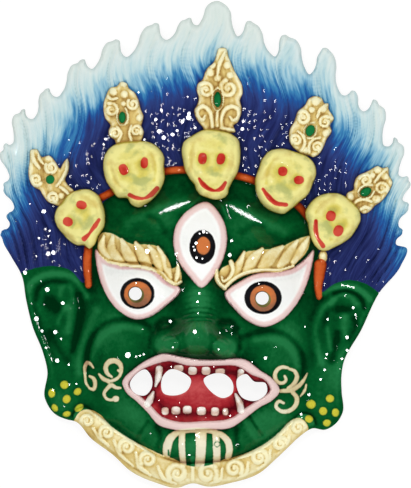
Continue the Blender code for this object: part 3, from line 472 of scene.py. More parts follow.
def carveEars(z, x, y, paint):
    for middle, spreads, turn, sink in ears["hollows"]:
        z = z - ears["foldShare"] * sink * carved * swell(x, y, middle, spreads, turn)
    folds = [(points, half, rise * ears["foldShare"]) for points, half, rise in ears["folds"]]
    z = softStrokes(z, x, y, folds)
    spread = ears["lobeSpread"]
    for middle, wide, tall in ears["lobes"]:
        z = z + ears["lobeRise"] * carved * swell(x, y, middle, (wide * spread, tall * spread))
    for dotX, dotY, wide, tall, turn in ears["dots"]:
        depth = roundSpot(x, y, (dotX, dotY), wide, tall, turn) - ears["dotShy"]
        z = z + ears["dotRise"] * carved * pillow(depth, min(wide, tall))
        paint["dotYellow"] = np.maximum(paint["dotYellow"], depth)
    return z


# Folds of the cheeks, forehead and chin: points, half width and rise
faceFolds = (
    (((150, 327), (142.5, 322), (122, 319), (103, 325), (92.5, 337), (87.5, 352), (86.5, 368)), 3.4, -1.15),
    (((140, 329), (122, 327), (106, 333), (97, 344), (93, 358)), 4.2, 0.9),
    (((243, 337), (256, 332), (272, 330.5), (288, 336), (299, 348), (303.5, 362), (303, 374)), 3.4, -1.15),
    (((256, 340), (272, 339), (285, 344), (294, 354), (297, 366)), 4.2, 0.9),
    (((247.5, 412.5), (255, 425), (262.5, 435)), 1.6, -1.1),
    (((243, 418), (250, 431), (256, 439)), 3.0, 0.6),
    (((148, 421), (141, 431), (136, 440)), 2.0, -0.7),
    (((157, 427), (160, 436), (158, 446)), 3.0, -1.0),
    (((237, 428), (236, 437), (238, 447)), 3.0, -1.0),
    (((200, 197), (190, 207), (182, 218)), 1.5, 0.7),
    (((218, 200), (223, 208), (227.5, 218)), 1.5, 0.7),
    (((128, 222), (150, 210), (172, 205), (186, 203)), 7.0, 1.4),
    (((228, 205), (246, 211), (268, 222), (284, 232)), 7.0, 1.4),
    (((165, 232), (160, 222), (150, 216)), 4.0, -0.8),
    (((242, 232), (252, 226), (262, 226)), 4.0, -0.8),
    (((158, 325), (164, 320), (171, 321)), 4.0, -2.2),
    (((222, 322), (230, 322), (236, 328)), 4.0, -2.2),
    (((150, 346), (152, 334), (158, 328)), 2.4, -0.9),
    (((240, 348), (239, 336), (234, 330)), 2.4, -0.9),
    (((186, 330), (184, 340), (186, 350)), 3.0, -0.45),
    (((209, 330), (211, 340), (209, 350)), 3.0, -0.45),
)

nose = {
    # wrinkles over the bridge: height on the chart and strength
    "wrinkles": ((288, 0.35), (295, 0.5), (301, 0.6), (307, 1.0), (312, 1.0), (316.6, 0.9), (320.3, 0.8)),
    "wrinkleMiddle": 199.5,
    "wrinkleBreadth": 14.0,
    "wrinkleBow": 0.012,
    "wrinkleSink": 0.68,
    "wrinkleHalf": 1.25,
    "wings": ((171.0, 344.0), (220.5, 346.5)),
    "wingRing": 9.0,
    "wingEdge": 17.5,
    "wingSink": 0.42,
    "wingHalf": 1.5,
    "edgeSink": 0.55,
    "edgeHalf": 2.2,
    "edgeAside": (-4.0, 6.0),  # where the rim of a nostril fades in, outwards and upwards
    "edgeFoot": 12.0,
    "edgeFade": 8.0,
}


def carveNose(z, x, y):
    fade = np.exp(-(((x - nose["wrinkleMiddle"]) / nose["wrinkleBreadth"]) ** 4))
    for middle, strength in nose["wrinkles"]:
        bow = middle + nose["wrinkleBow"] * (x - nose["wrinkleMiddle"]) ** 2
        across = np.exp(-(((y - bow) / nose["wrinkleHalf"]) ** 2))
        z = z - nose["wrinkleSink"] * strength * carved * fade * across
    z = softStrokes(z, x, y, faceFolds)
    for (wingX, wingY), side in zip(nose["wings"], (-1, 1)):
        reach = np.hypot(x - wingX, y - wingY)
        z = z - nose["wingSink"] * carved * np.exp(-(((reach - nose["wingRing"]) / nose["wingHalf"]) ** 2))
        outside = smoothStep(side * (x - wingX), *nose["edgeAside"])
        outside = outside * smoothStep(wingY + nose["edgeFoot"] - y, 0.0, nose["edgeFade"])
        rim = np.exp(-(((reach - nose["wingEdge"]) / nose["edgeHalf"]) ** 2))
        z = z - nose["edgeSink"] * carved * outside * rim
    return z


eyes = {
    "lids": (
        ((96.4, 249), (97.4, 268), (103, 287), (110.8, 301.3), (121.7, 312.4), (137, 319.2), (151, 316),
         (164, 307), (180.4, 288.3), (166, 279), (153, 268), (138, 264.5), (120, 264), (105, 258.5)),
        ((313, 250), (311, 269), (304, 290), (294, 307), (281, 320), (263, 326.5), (248, 321), (235, 309.5),
         (224.5, 293.5), (240, 281), (258, 272.8), (276, 271.5), (292, 268), (305, 258.5)),
        ((206.5, 202), (188, 210.5), (176, 226), (173.5, 243), (179, 262), (190, 277), (201.5, 287.5),
         (213, 277), (223, 259), (227, 238), (222.5, 219)),
    ),
    "lidBreadth": (5.0, 5.2, 6.2),
    "lidRound": 0.5,  # shares of that breadth: the roll of the lid, and where it falls to the ball
    "lidFall": (0.45, 1.7),
    "lidRise": 2.4,
    "ballShare": 0.45,
    "pupils": ((135.7, 293.5), (262.0, 298.0)),
    # rings and irises: middle, half width, half height
    "rings": (((137.7, 293.3), 17.2, 15.5), ((262.8, 297.5), 18.7, 16.5), ((202.4, 247.0), 13.0, 17.0)),
    "irises": (((138.0, 294.0), 13.5, 12.6), ((263.0, 298.0), 13.0, 13.0), ((203.4, 245.8), 6.8, 8.8)),
    "pupilLine": 1.3,
    "pupilLineShare": 0.6,
    # how far the painted shade of the bore's wall is shifted, to the lower right
    "wallShadeShift": (0.9, 1.3),
    "ballRise": 1.6,
    "ballSpread": 1.3,
}


def carveEyes(z, x, y, paint):
    for lid, breadth in zip(eyes["lids"], eyes["lidBreadth"]):
        depth = depthInside(smoothCurve(lid, 3.0), x, y, 30.0)
        fallFrom, fallTo = eyes["lidFall"]
        inner = (1 - eyes["ballShare"]) * smoothStep(depth, breadth * fallFrom, breadth * fallTo)
        z = z + eyes["lidRise"] * carved * pillow(depth, breadth * eyes["lidRound"]) * (1 - inner)
        paint["lidRose"] = np.maximum(paint["lidRose"], depth)
        paint["eyeWhite"] = np.maximum(paint["eyeWhite"], depth - breadth)
    spread = eyes["ballSpread"]
    for middle, wide, tall in eyes["rings"]:
        z = z + eyes["ballRise"] * carved * swell(x, y, middle, (wide * spread, tall * spread))
        paint["ringBlack"] = np.maximum(paint["ringBlack"], roundSpot(x, y, middle, wide, tall))
    for middle, wide, tall in eyes["irises"]:
        paint["irisOrange"] = np.maximum(paint["irisOrange"], roundSpot(x, y, middle, wide, tall))
    bore = mask["pupilBore"] / 2 / unit
    lineHalf = eyes["pupilLine"] * eyes["pupilLineShare"]
    for pupilX, pupilY in eyes["pupils"]:
        line = np.hypot(x - pupilX, y - pupilY) - bore - lineHalf
        paint["irisOrange"] = np.minimum(paint["irisOrange"], line)
        # a crescent of painted shade where the bore's wall would show
        shiftX, shiftY = eyes["wallShadeShift"]
        wallShade = bore + eyes["pupilLine"] - np.hypot(x - pupilX - shiftX, y - pupilY - shiftY)
        paint["pupilWallShade"] = np.maximum(paint["pupilWallShade"], wallShade)
    return z


brows = {
    "plates": (
        ((97, 238), (101, 232), (112, 232), (123, 238), (134, 243), (146, 243), (158, 245), (165, 251),
         (169, 268), (178, 265), (182, 282), (172, 284), (161, 272), (148, 263), (130, 262), (112, 260),
         (100, 252)),
        ((310, 234.5), (302, 236), (292, 240), (279, 246), (266, 248), (254, 249), (244, 251), (237, 260),
         (230, 262.5), (220, 268), (217, 281), (225, 289), (239, 277), (258, 271.5), (280, 270), (299, 262),
         (310, 247)),
    ),
    # locks from root to tip with their greatest width
    "locks": (
        (((176, 281), (178, 272), (178, 264)), 6), (((170, 277), (165, 262), (158, 247)), 9),
        (((160, 270), (157, 258), (149, 246)), 10), (((148, 266), (143, 256), (136, 243)), 12),
        (((135, 264), (127, 252), (122, 240)), 12), (((122, 263), (112, 250), (113, 236)), 11),
        (((110, 260), (102, 248), (104, 236)), 10),
        (((234, 277), (240, 262), (244, 252)), 9), (((246, 271), (254, 258), (262, 249)), 12),
        (((262, 268), (272, 255), (282, 247)), 14), (((280, 266), (290, 252), (297, 241)), 11),
        (((293, 262), (302, 248), (309, 237)), 9),
    ),
    # thin rolled edges and curls: points and widths
    "rolls": (
        (((110, 262), (130, 265), (150, 268), (160, 272), (170, 281), (177, 284), (181, 281.5)),
         (3, 4, 4, 5, 3)),
        (((224, 288), (232, 280), (245, 273), (262, 270), (280, 270), (293, 266)), (4, 4.5, 4.5, 4, 3)),
        (((217, 270), (216.5, 277), (219, 283), (225, 288)), (3, 4.5, 4.5, 4)),
        (((231, 262), (233, 270), (229, 278), (223, 281), (221.5, 276)), (5, 5, 4.5, 3, 2)),
    ),
    "plateRise": 2.0,
    "plateRound": 6.0,
    "plateShy": 1.5,  # the gilding stops a little short of the plate
    "lockRise": 1.8,
    "lockTaper": (0.7, 1.0, 0.8, 0.3),
    "rollRise": 3.0,
}


def carveBrows(z, x, y, paint):
    for plate in brows["plates"]:
        depth = depthInside(smoothCurve(plate, 3.0), x, y, 12.0)
        z = z + brows["plateRise"] * carved * pillow(depth, brows["plateRound"])
        paint["goldPaint"] = np.maximum(paint["goldPaint"], depth - brows["plateShy"])
    relief = np.zeros(x.shape)
    for points, width in brows["locks"]:
        depth, half = strokeDepth(points, [width * share for share in brows["lockTaper"]], x, y)
        relief = np.maximum(relief, brows["lockRise"] * pillow(depth, half))
        paint["goldPaint"] = np.maximum(paint["goldPaint"], depth)
    for points, widths in brows["rolls"]:
        depth, half = strokeDepth(points, widths, x, y)
        relief = np.maximum(relief, brows["rollRise"] * pillow(depth, half))
        paint["goldPaint"] = np.maximum(paint["goldPaint"], depth)
    return z + relief * carved


jaws = {
    "lips": (
        (122.6, 383), (136, 367), (149, 358.5), (165, 353), (179, 355.5), (196, 358.5), (218, 359),
        (246, 359.5), (260, 370), (272, 378), (279.6, 391), (273, 399), (259, 407), (246, 417), (231, 427),
        (205, 428.5), (172, 428.7), (159, 424.5), (148, 412), (137, 401), (126, 391),
    ),
    "mouth": (
        (129, 384), (139, 371.5), (154, 364), (170, 360.5), (186, 364.5), (214, 365), (238, 366),
        (251, 374), (266, 381), (270, 389), (258, 399), (246, 407), (232, 417), (204, 420.5), (173, 420),
        (162, 416), (151, 405), (140, 395),
    ),
    "gaps": (
        ((130, 384), (135, 375), (146, 369), (151.5, 376), (151.5, 388), (145, 395), (134, 392)),
        ((163, 376), (170, 369), (183, 372), (191, 379), (188, 389), (174, 395), (164, 393)),
        ((204, 378), (212, 373.5), (225, 374), (232.5, 382), (232, 393), (224, 397.5), (212, 392)),
        ((238, 377), (245.5, 373.5), (254, 381), (265.5, 383), (267, 391), (255, 400.5), (242, 397)),
    ),
    "lipRise": 3.4,
    "lipRound": 3.4,
    "rootClear": 0.6,
    # fangs from root to tip with their widths, and the small teeth: middle, half width, half height
    "fangs": (
        (((159.4, 368.6), (158.3, 377), (155.7, 385.5)), (7.0, 6.5, 2.2)),
        (((147.6, 403.4), (149.2, 401), (150.9, 397.5), (153.6, 391.5)), (6.6, 7.0, 5.6, 2.2)),
        (((240.8, 371.4), (239.8, 377), (238.0, 382)), (6.4, 5.4, 2.2)),
        (((240.8, 409.6), (239.6, 403), (235.4, 393.5)), (7.0, 6.2, 2.2)),
    ),
    "teeth": (
        (178.7, 367.9, 4.7, 3.3), (192.6, 370.2, 4.3, 4.0), (206.0, 370.2, 4.3, 4.0),
        (220.0, 371.0, 4.6, 2.9), (165.3, 410.6, 3.4, 3.6), (176.0, 409.9, 4.4, 3.9),
        (187.3, 409.2, 4.4, 3.9), (201.4, 410.4, 4.5, 4.1), (215.0, 411.0, 3.9, 4.2),
        (225.4, 411.2, 2.8, 3.4),
    ),
    "toothRise": 1.9,
    "fangRise": 3.0,
}


def carveJaws(z, x, y, paint):
    lips = depthInside(smoothCurve(jaws["lips"], 3.0), x, y, 12.0)
    mouth = depthInside(smoothCurve(jaws["mouth"], 3.0), x, y, 12.0)
    paint["lidRose"] = np.maximum(paint["lidRose"], lips)
    paint["mouthCrimson"] = np.maximum(paint["mouthCrimson"], mouth)
    relief = np.zeros(x.shape)
    for points, widths in jaws["fangs"]:
        depth, half = strokeDepth(points, widths, x, y)
        relief = np.maximum(relief, jaws["fangRise"] * pillow(depth, half))
        paint["toothWhite"] = np.maximum(paint["toothWhite"], depth)
    for toothX, toothY, wide, tall in jaws["teeth"]:
        depth = roundSpot(x, y, (toothX, toothY), wide, tall, square=3.0)
        relief = np.maximum(relief, jaws["toothRise"] * pillow(depth, min(wide, tall)))
        paint["toothWhite"] = np.maximum(paint["toothWhite"], depth)
    # the lip gives way under the roots of the fangs
    lip = jaws["lipRise"] * pillow(np.minimum(lips, -mouth), jaws["lipRound"])
    clear = jaws["rootClear"]
    lip = lip * (1 - smoothStep(paint["toothWhite"], -clear, clear))
    return z + (relief + lip) * carved


scrolls = {
    # painted scrolls of the cheeks, a little raised: points and widths
    "strokes": (
        (((109, 381), (103, 378), (99, 373.6)), (5.5, 5.0, 2.0)),
        (((109, 381), (115, 379.5), (119.5, 376), (121.5, 370), (120.5, 364), (115.5, 360.4),
          (109.5, 361.5), (106, 366.5), (107.5, 373), (112, 376.5)), (3, 4, 3.5, 5, 6.5, 6.5, 6, 5, 3)),
        (((118.6, 370), (120.8, 371.5)), (3.4, 2.6)),
        (((121, 387.6), (116, 387), (112, 384.8), (107.5, 388), (104.3, 393.5), (106.6, 398.2),
          (111, 399.5), (115.4, 398.6)), (2.5, 4.5, 5.5, 4.5, 4, 3.6, 3.4, 4)),
        (((115.7, 398.6), (116.3, 398.4)), (7.4, 7.4)),
        (((93.6, 367.6), (90.5, 363.6), (87.4, 362.2), (85.2, 366.9), (85.4, 375), (86.4, 383),
          (89.5, 387.6)),
         (2.0, 4.0, 4.2, 3.6, 3.0, 3.0, 2.6)),
        (((89.9, 375.9), (93.9, 378.3), (95.3, 384.5), (93.5, 389), (89.5, 388)), (3, 4.5, 4.8, 4.4, 2.6)),
        (((288.7, 368.4), (294, 370.5), (296.7, 375.2), (294.8, 382), (287.6, 388)), (3, 4.5, 5.5, 5, 3.5)),
        (((287.6, 367.4), (281.5, 366.8), (276.5, 370), (274.6, 375), (276.6, 380.8), (281.8, 382.8),
          (285.8, 379.8), (284.5, 375.6)), (3.5, 4.5, 5, 5, 4.5, 4, 3)),
        (((280.2, 390.6), (291.6, 389.4), (300.2, 384), (307.2, 373)), (4.5, 6, 5, 1.6)),
        (((292, 391.5), (296.7, 398), (295, 405.5), (288.5, 410.6), (280.5, 410.6), (275.8, 405.6),
          (278.5, 400.8), (283.5, 402.6)), (5, 5.5, 5.5, 5, 4.5, 4.2, 3.4)),
        (((306, 384.4), (304.6, 390), (300.2, 396)), (2, 3.6, 1.6)),
    ),
    "thin": 0.8,  # share of those widths that is painted
    "rise": 0.5,
}

chin = {
    "strokes": (
        (((166.5, 455), (167.4, 446), (170.2, 438.2), (177.5, 432.2), (188, 429.8), (200, 429.4),
          (212, 430.6), (221.5, 434.4), (227.8, 441), (229.4, 449), (228, 457)),
          (7, 8.6, 7.6, 5, 4.6, 5, 4.8, 5, 6.4, 6.8, 6)),
        (((182.3, 431), (182.0, 447), (183.5, 465)), (6.0, 6.4, 5.6)),
        (((201, 433), (201, 447), (199.5, 467)), (11.0, 9.6, 9.0)),
        (((215.5, 432), (216.6, 447), (216.8, 464)), (6.4, 7.4, 7.0)),
    ),
    # a sliver of green that shows in the left band, and a green ring in the right one
    "green": (((168.5, 449.5), (168.8, 454.5)), (1.6, 2.2)),
    "hook": (217.0, 443.6),
    "hookRadius": 2.6,
    "hookHalf": 0.5,
    "rise": 0.7,
}


def carveScrolls(z, x, y, paint):
    relief = np.zeros(x.shape)
    for points, widths in scrolls["strokes"]:
        depth, half = strokeDepth(points, [width * scrolls["thin"] for width in widths], x, y)
        relief = np.maximum(relief, scrolls["rise"] * pillow(depth, half))
        paint["creamPaint"] = np.maximum(paint["creamPaint"], depth)
    for points, widths in chin["strokes"]:
        depth, half = strokeDepth(points, widths, x, y)
        relief = np.maximum(relief, chin["rise"] * pillow(depth, half))
        paint["creamPaint"] = np.maximum(paint["creamPaint"], depth)
    sliver, _ = strokeDepth(*chin["green"], x, y)
    paint["creamPaint"] = np.minimum(paint["creamPaint"], -sliver)
    hookX, hookY = chin["hook"]
    hook = np.abs(np.hypot(x - hookX, y - hookY) - chin["hookRadius"]) - chin["hookHalf"]
    paint["creamPaint"] = np.where(hook < 2.0, np.minimum(paint["creamPaint"], hook), paint["creamPaint"])
    return z + relief * carved


# A scroll winds in from its rim to a boss: sizes are shares of its radius
scrollForm = {
    "rounds": 1.35,
    "rim": 0.82,
    "windIn": 0.60,
    "full": 0.30,  # half width of the ridge, and how much it thins on the way in
    "thins": 0.08,
    "boss": 0.26,
    "bossRise": 1.1,
    "corners": 22,
}


def volute(x, y, middleX, middleY, radius, way, start, full=scrollForm["full"]):
    turns = np.linspace(0, 1, scrollForm["corners"])
    angle = math.radians(start) + way * turns * 2 * math.pi * scrollForm["rounds"]
    spread = radius * (scrollForm["rim"] - scrollForm["windIn"] * turns)
    line = np.column_stack((middleX + spread * np.cos(angle), middleY + spread * np.sin(angle)))
    gap, share = gapToLine(line, x, y, radius)
    half = radius * (full - scrollForm["thins"] * share)
    bossSize = radius * scrollForm["boss"]
    boss = roundSpot(x, y, (middleX, middleY), bossSize, bossSize)
    return np.maximum(pillow(half - gap, half), scrollForm["bossRise"] * pillow(boss, bossSize))


beard = {
    "line": (
        (84, 418), (92, 424), (106, 433), (126, 448), (149, 463), (178, 473), (208, 473), (236, 469),
        (260, 457), (281, 443), (296, 430), (304, 424),
    ),
    "breadth": 22.0,
    "rise": 4.6,
    "paintEdge": (
        (76.5, 416), (80.5, 411), (86.6, 409), (99, 413.4), (109.5, 424.2), (125.5, 435.7), (146.5, 447.2),
        (161.8, 454.2), (175.5, 459), (185.7, 464.6), (199.7, 466), (213.8, 463.4), (224, 459), (233, 457),
        (250, 451), (266, 442.5), (280, 431), (291, 420), (299, 417.5), (305, 421), (308, 427), (306, 440),
        (290, 475), (250, 500), (200, 506), (150, 500), (100, 470), (74, 436), (73, 424),
    ),
    # curls: middle, radius and the way they wind
    "curls": (
        (87.5, 420.5, 7.5, 1), (107, 432, 8.5, 1), (127, 446.5, 9.5, 1), (148, 459, 9.5, 1),
        (177.5, 473, 11.5, 1), (207.6, 473, 11.5, -1), (234, 468, 10, -1), (259, 457, 10, -1),
        (280, 443.5, 9, -1), (298, 427, 8.5, -1),
    ),
    "curlRise": 1.8,
    "curlFull": 0.36,
    # locks between the curls: points and widths
    "locks": (
        (((93, 428), (99, 436), (108, 445)), (3, 5, 3)), (((114, 440), (121, 455), (133, 466)), (3, 5, 3)),
        (((136, 452), (140, 466), (150, 475)), (3, 6, 3)),
        (((158, 466), (164, 478), (176, 484)), (3, 5, 3)),
        (((192.7, 458), (192.7, 470), (192.7, 482)), (6, 4, 3)),
        (((222, 468), (220, 478), (210, 484)), (3, 5, 3)),
        (((248, 462), (246, 472), (236, 480)), (3, 5, 3)),
        (((270, 450), (268, 461), (258, 469)), (3, 5, 3)),
        (((289, 435), (287, 445), (277, 455)), (3, 5, 3)), (((96, 414), (110, 427), (127, 438)), (3, 4, 3)),
        (((128, 438), (146, 449), (163, 456)), (3, 4, 3)),
        (((233, 459), (252, 453), (268, 444)), (3, 4, 3)),
        (((268, 444), (282, 432), (292, 421)), (3, 4, 3)),
    ),
    "lockRise": 1.2,
}


def carveBeard(z, x, y, paint):
    gap, _ = gapToLine(smoothCurve(beard["line"], 4.0, closed=False), x, y, beard["breadth"])
    z = z + beard["rise"] * carved * roll(gap, beard["breadth"])
    inside = depthInside(smoothCurve(beard["paintEdge"], 3.0), x, y, paintReach)
    paint["goldPaint"] = np.maximum(paint["goldPaint"], inside)
    relief = np.zeros(x.shape)
    for middleX, middleY, radius, way in beard["curls"]:
        curl = volute(x, y, middleX, middleY, radius, way, 90 + 60 * way, beard["curlFull"])
        relief = np.maximum(relief, beard["curlRise"] * curl**2)
    for points, widths in beard["locks"]:
        depth, half = strokeDepth(points, widths, x, y)
        relief = np.maximum(relief, beard["lockRise"] * pillow(depth, half))
    return z + relief * carved


leaves = {
    # volutes: middle, radius, the way they wind and start angle; beads: middle and radius; ridges: points
    # and widths; gem: middle, half width, half height and turn
    "plates": (
        {
            "outline": (
                (31.5, 149.8), (37, 149.6), (42, 157), (49.4, 155.7), (55.5, 161.6), (60.3, 168.6),
                (63.2, 163.5), (67.6, 158.6), (69.4, 165), (67.6, 174), (65.4, 180), (68, 185), (74, 191),
                (68, 199), (60, 206), (54.1, 204.6), (47.3, 201), (42.8, 194.8), (39.8, 190), (33.7, 186.8),
                (29.6, 179.6), (28.7, 172.3), (29.8, 161),
            ),
            "volutes": ((36.6, 179.6, 7.2, 1, 40), (51.8, 167.4, 7.6, -1, 200),
                        (52.4, 197.6, 7.4, -1, 120)),
            "beads": ((61.5, 196, 3.4),),
            "ridges": (
                (((67.4, 160.5), (67, 169), (63, 178), (57, 186)), (2, 4, 3.6, 3)),
                (((33, 151), (34, 160), (39.5, 168)), (2.4, 4.4, 3.4)),
                (((39, 152), (39.5, 159), (43.5, 164)), (2.2, 3.4, 2.6)),
                (((60, 187), (64.5, 190), (68.5, 194)), (3, 4, 3.4)),
            ),
            "gem": (50.4, 179.6, 4.4, 4.6, 30),
        },
        {
            "outline": (
                (121, 82), (127, 83.5), (129, 88.6), (134, 92), (138.2, 99.4), (141, 109.6), (143.6, 116.5),
                (142.2, 122.6), (141.4, 125.4), (143.8, 131), (142.2, 139.5), (140, 145), (117, 146),
                (114.8, 140.2), (109.2, 135.5), (108.9, 130), (110.6, 125.9), (105.7, 119), (103.4, 107.9),
                (105.7, 96.8), (111.2, 87.6), (117, 86.6),
            ),
            "volutes": (
                (111.6, 109.8, 7.6, 1, 250), (133.2, 104.4, 6.8, -1, 220), (115.4, 133.6, 6.6, 1, 150),
                (136.4, 131.2, 6.8, -1, 30),
            ),
            "beads": ((124.4, 94.6, 4.0), (139.7, 118.0, 3.6), (124, 84.6, 2.8), (113.6, 92.6, 3.8),
                      (123.8, 104.0, 2.8)),
            "ridges": (
                (((118.6, 141), (121.4, 133), (117.5, 127.2)), (3.4, 3.4, 2.4)),
                (((131.5, 141), (129.6, 133), (131.5, 126)), (3.4, 3.4, 2.4)),
                (((108, 97), (112, 99.5), (117.5, 98.5)), (3, 3.6, 2.6)),
                (((118.5, 109), (117.5, 117), (120.5, 124.5), (126, 124), (128, 116), (125.6, 108.5)),
                 (2, 2.6, 2.6, 2.6, 2)),
            ),
            "gem": (122.4, 117.6, 3.6, 5.9, 0),
        },
        {
            "outline": (
                (218.7, 48.6), (225.9, 48.8), (228.4, 57), (230.6, 62), (234.2, 70.6), (238.4, 78),
                (242.2, 86), (242.6, 93.5), (239.8, 101), (241.4, 107), (240.6, 115), (237.2, 123),
                (233.5, 125.6), (235.4, 131.8), (228, 133.4), (206.4, 133), (202, 126.5), (198, 121.6),
                (194.6, 109.5), (197.4, 104.8), (198.8, 98.5), (196.8, 91), (198.2, 83.6), (202.2, 80.4),
                (205.0, 73), (207.4, 68.4), (213.6, 62.6), (216.6, 54),
            ),
            "volutes": ((206.0, 90.4, 8.6, 1, 230), (228.6, 88.8, 10.2, -1, 250)),
            "beads": ((212.6, 65.6, 3.6), (226.9, 65.8, 3.8), (210.6, 72.8, 4.2), (229.6, 75.8, 3.6),
                      (217.7, 78.5, 3.8)),
            "ridges": (
                (((212.4, 127), (211.6, 118.5), (208.8, 110.6), (202.6, 106.6), (197.4, 110.8),
                  (198.4, 117), (203, 120.4), (204.8, 116.2)), (4.4, 4.2, 4.6, 5.0, 4.6, 4.0, 3.6, 2.6)),
                (((221.6, 127), (221.4, 118.5), (224.6, 110.6), (231.4, 106.8), (238.0, 110.0),
                  (237.6, 117.6), (232.8, 120.6), (230.0, 116.8)),
                  (4.4, 4.2, 4.6, 5.2, 4.6, 4.2, 3.6, 2.6)),
                (((217.4, 76), (219, 66), (222.5, 57.5), (225.6, 50)), (3, 4.6, 4, 2)),
                (((217.4, 88), (213.0, 95), (213.0, 103), (217.4, 110.6), (222.4, 103.5), (222.2, 95),
                  (217.4, 88)),
                 (2.4, 2.8, 2.8, 3, 2.8, 2.8, 2.4)),
                (((217, 125.6), (217.2, 118), (217.4, 112)), (5, 4, 3)),
                (((221, 128.4), (228, 129.6), (234.4, 130.6)), (4, 4.4, 3)),
            ),
            "gem": (217.6, 100.0, 3.9, 8.2, 0),
        },
        {
            "outline": (
                (315.6, 96.2), (308, 99.6), (305.4, 104.6), (297.6, 112), (294.7, 120.5), (289.9, 129.2),
                (288.9, 137.9), (291.6, 146), (296.6, 150.6), (302, 154.6), (308.5, 155.6), (312.8, 157.4),
                (319.4, 153.4), (323.4, 146.6), (326.5, 139.2), (331.4, 131.0), (329.8, 125.6),
                (333.8, 118.4), (331.2, 113.6), (328.4, 109.0), (328.0, 103.4), (324.6, 103.6),
                (321.8, 98.8),
            ),
            "volutes": (
                (302.6, 118.2, 8.2, 1, 240), (295.8, 140.6, 7.2, 1, 150), (324.9, 122.4, 7.0, -1, 300),
                (316.6, 147.2, 6.6, -1, 60),
            ),
            "beads": ((315.6, 101.8, 4.4), (311.6, 110.2, 3.2), (322.6, 109.6, 3.6), (325.6, 133.4, 3.8),
                      (305.6, 150.2, 3.6)),
            "ridges": (
                (((301, 151.5), (304.6, 144), (302.4, 135.8), (297.5, 131.4)), (3.4, 3.6, 3.2, 2.4)),
                (((309, 152.6), (309.2, 145), (313.4, 139.6), (320, 137.8)), (3.4, 3.4, 3.2, 2.6)),
                (((313.8, 122.4), (306.2, 127), (304.8, 134), (309.2, 138.6), (314.8, 134), (315.6, 126.6)),
                 (2.2, 2.6, 2.8, 2.8, 2.6, 2.2)),
                (((317, 117.5), (320, 110), (325.8, 104.6)), (3, 3.6, 2.4)),
            ),
            "gem": (310.0, 130.8, 4.6, 6.0, 22),
        },
        {
            "outline": (
                (387.6, 167.2), (382, 168.2), (377.7, 165.9), (371.3, 169.2), (365, 172.4), (356.7, 176.8),
                (353.8, 184.2), (353.4, 189.6), (346.8, 193.4), (345.6, 199), (352, 207), (358.6, 211.4),
                (363.4, 213.8), (369.6, 211.2), (374.3, 206.1), (380.6, 201.8), (385.8, 195.9),
                (390.2, 188.7), (392.2, 183.2), (388.9, 175.2),
            ),
            "volutes": ((365.4, 180.2, 7.4, 1, 200), (381.2, 188.6, 7.6, -1, 20)),
            "beads": ((350.6, 197.4, 3.8), (377.6, 170.2, 3.8), (372.2, 175.6, 3.0), (376.0, 199.0, 4.4),
                      (384.6, 176.4, 4.0)),
            "ridges": (
                (((353, 205), (357.6, 200.5), (364.4, 199.6), (371, 201.6)), (3.4, 4.2, 4, 3)),
                (((360.2, 209.6), (364.6, 207.2), (369, 208.4)), (3.4, 4.4, 3.2)),
                (((372, 185), (364, 185.6), (358.4, 191.0), (361.4, 198), (369, 197.6), (374, 191.6)),
                 (2.4, 2.6, 2.8, 2.8, 2.6, 2.4)),
                (((374.5, 182), (379.5, 175.6), (385.6, 170)), (3, 3.6, 2.4)),
            ),
            "gem": (365.6, 192.0, 6.2, 4.4, -28),
        },
    ),
    "edge": 3.4,
    "rise": 3.0,
    "ridgeRise": 2.0,
    "ridgeEdge": 1.6,
    "gemRise": 0.9,
    "gemMoat": 1.0,
}


def carveLeaves(z, x, y, paint):
    for plate in leaves["plates"]:
        depth = depthInside(smoothCurve(plate["outline"], 2.0), x, y, 12.0)
        relief = np.zeros(x.shape)
        for middleX, middleY, radius, way, start in plate["volutes"]:
            relief = np.maximum(relief, volute(x, y, middleX, middleY, radius, way, start))
        for beadX, beadY, radius in plate["beads"]:
            bead = roundSpot(x, y, (beadX, beadY), radius, radius)
            relief = np.maximum(relief, pillow(bead, radius))
        for points, widths in plate["ridges"]:
            inside, half = strokeDepth(points, widths, x, y)
            relief = np.maximum(relief, pillow(inside, half))
        gemX, gemY, wide, tall, turn = plate["gem"]
        gem = roundSpot(x, y, (gemX, gemY), wide, tall, turn)
        relief = np.where(gem > -leaves["gemMoat"], leaves["gemRise"] * pillow(gem, min(wide, tall)), relief)
        ridges = leaves["ridgeRise"] * relief * pillow(depth, leaves["ridgeEdge"])
        z = z + (leaves["rise"] * pillow(depth, leaves["edge"]) + ridges) * carved
        paint["goldPaint"] = np.maximum(paint["goldPaint"], depth)
        paint["gemGreen"] = np.maximum(paint["gemGreen"], gem)
    return z


band = {
    # the band and its two ribbons: points, width and rise
    "strokes": (
        (((92, 203), (120, 188), (168, 171), (211, 172), (252, 180), (300, 208), (315, 226)), 7.5, 2.6),
        (((88.5, 247), (87.5, 260), (87.8, 272), (88.8, 285)), 8.0, 2.6),
        (((320.2, 265), (318.9, 276), (318.0, 288), (318.8, 297)), 9.0, 2.6),
    ),
    "taper": ((1, 1, 1), (1, 1.1, 0.85), (1.4, 1.2, 0.9, 0.62)),
    "bead": (322.8, 256.5, 4.2, 6.4),
    "beadRise": 2.6,
}


def carveBands(z, x, y, paint):
    for (points, width, rise), taper in zip(band["strokes"], band["taper"]):
        depth, half = strokeDepth(points, [width * share for share in taper], x, y)
        z = z + rise * carved * pillow(depth, half)
        paint["bandOrange"] = np.maximum(paint["bandOrange"], depth)
    beadX, beadY, wide, tall = band["bead"]
    depth = roundSpot(x, y, (beadX, beadY), wide, tall)
    paint["goldPaint"] = np.maximum(paint["goldPaint"], depth)
    return z + band["beadRise"] * carved * pillow(depth, min(wide, tall))


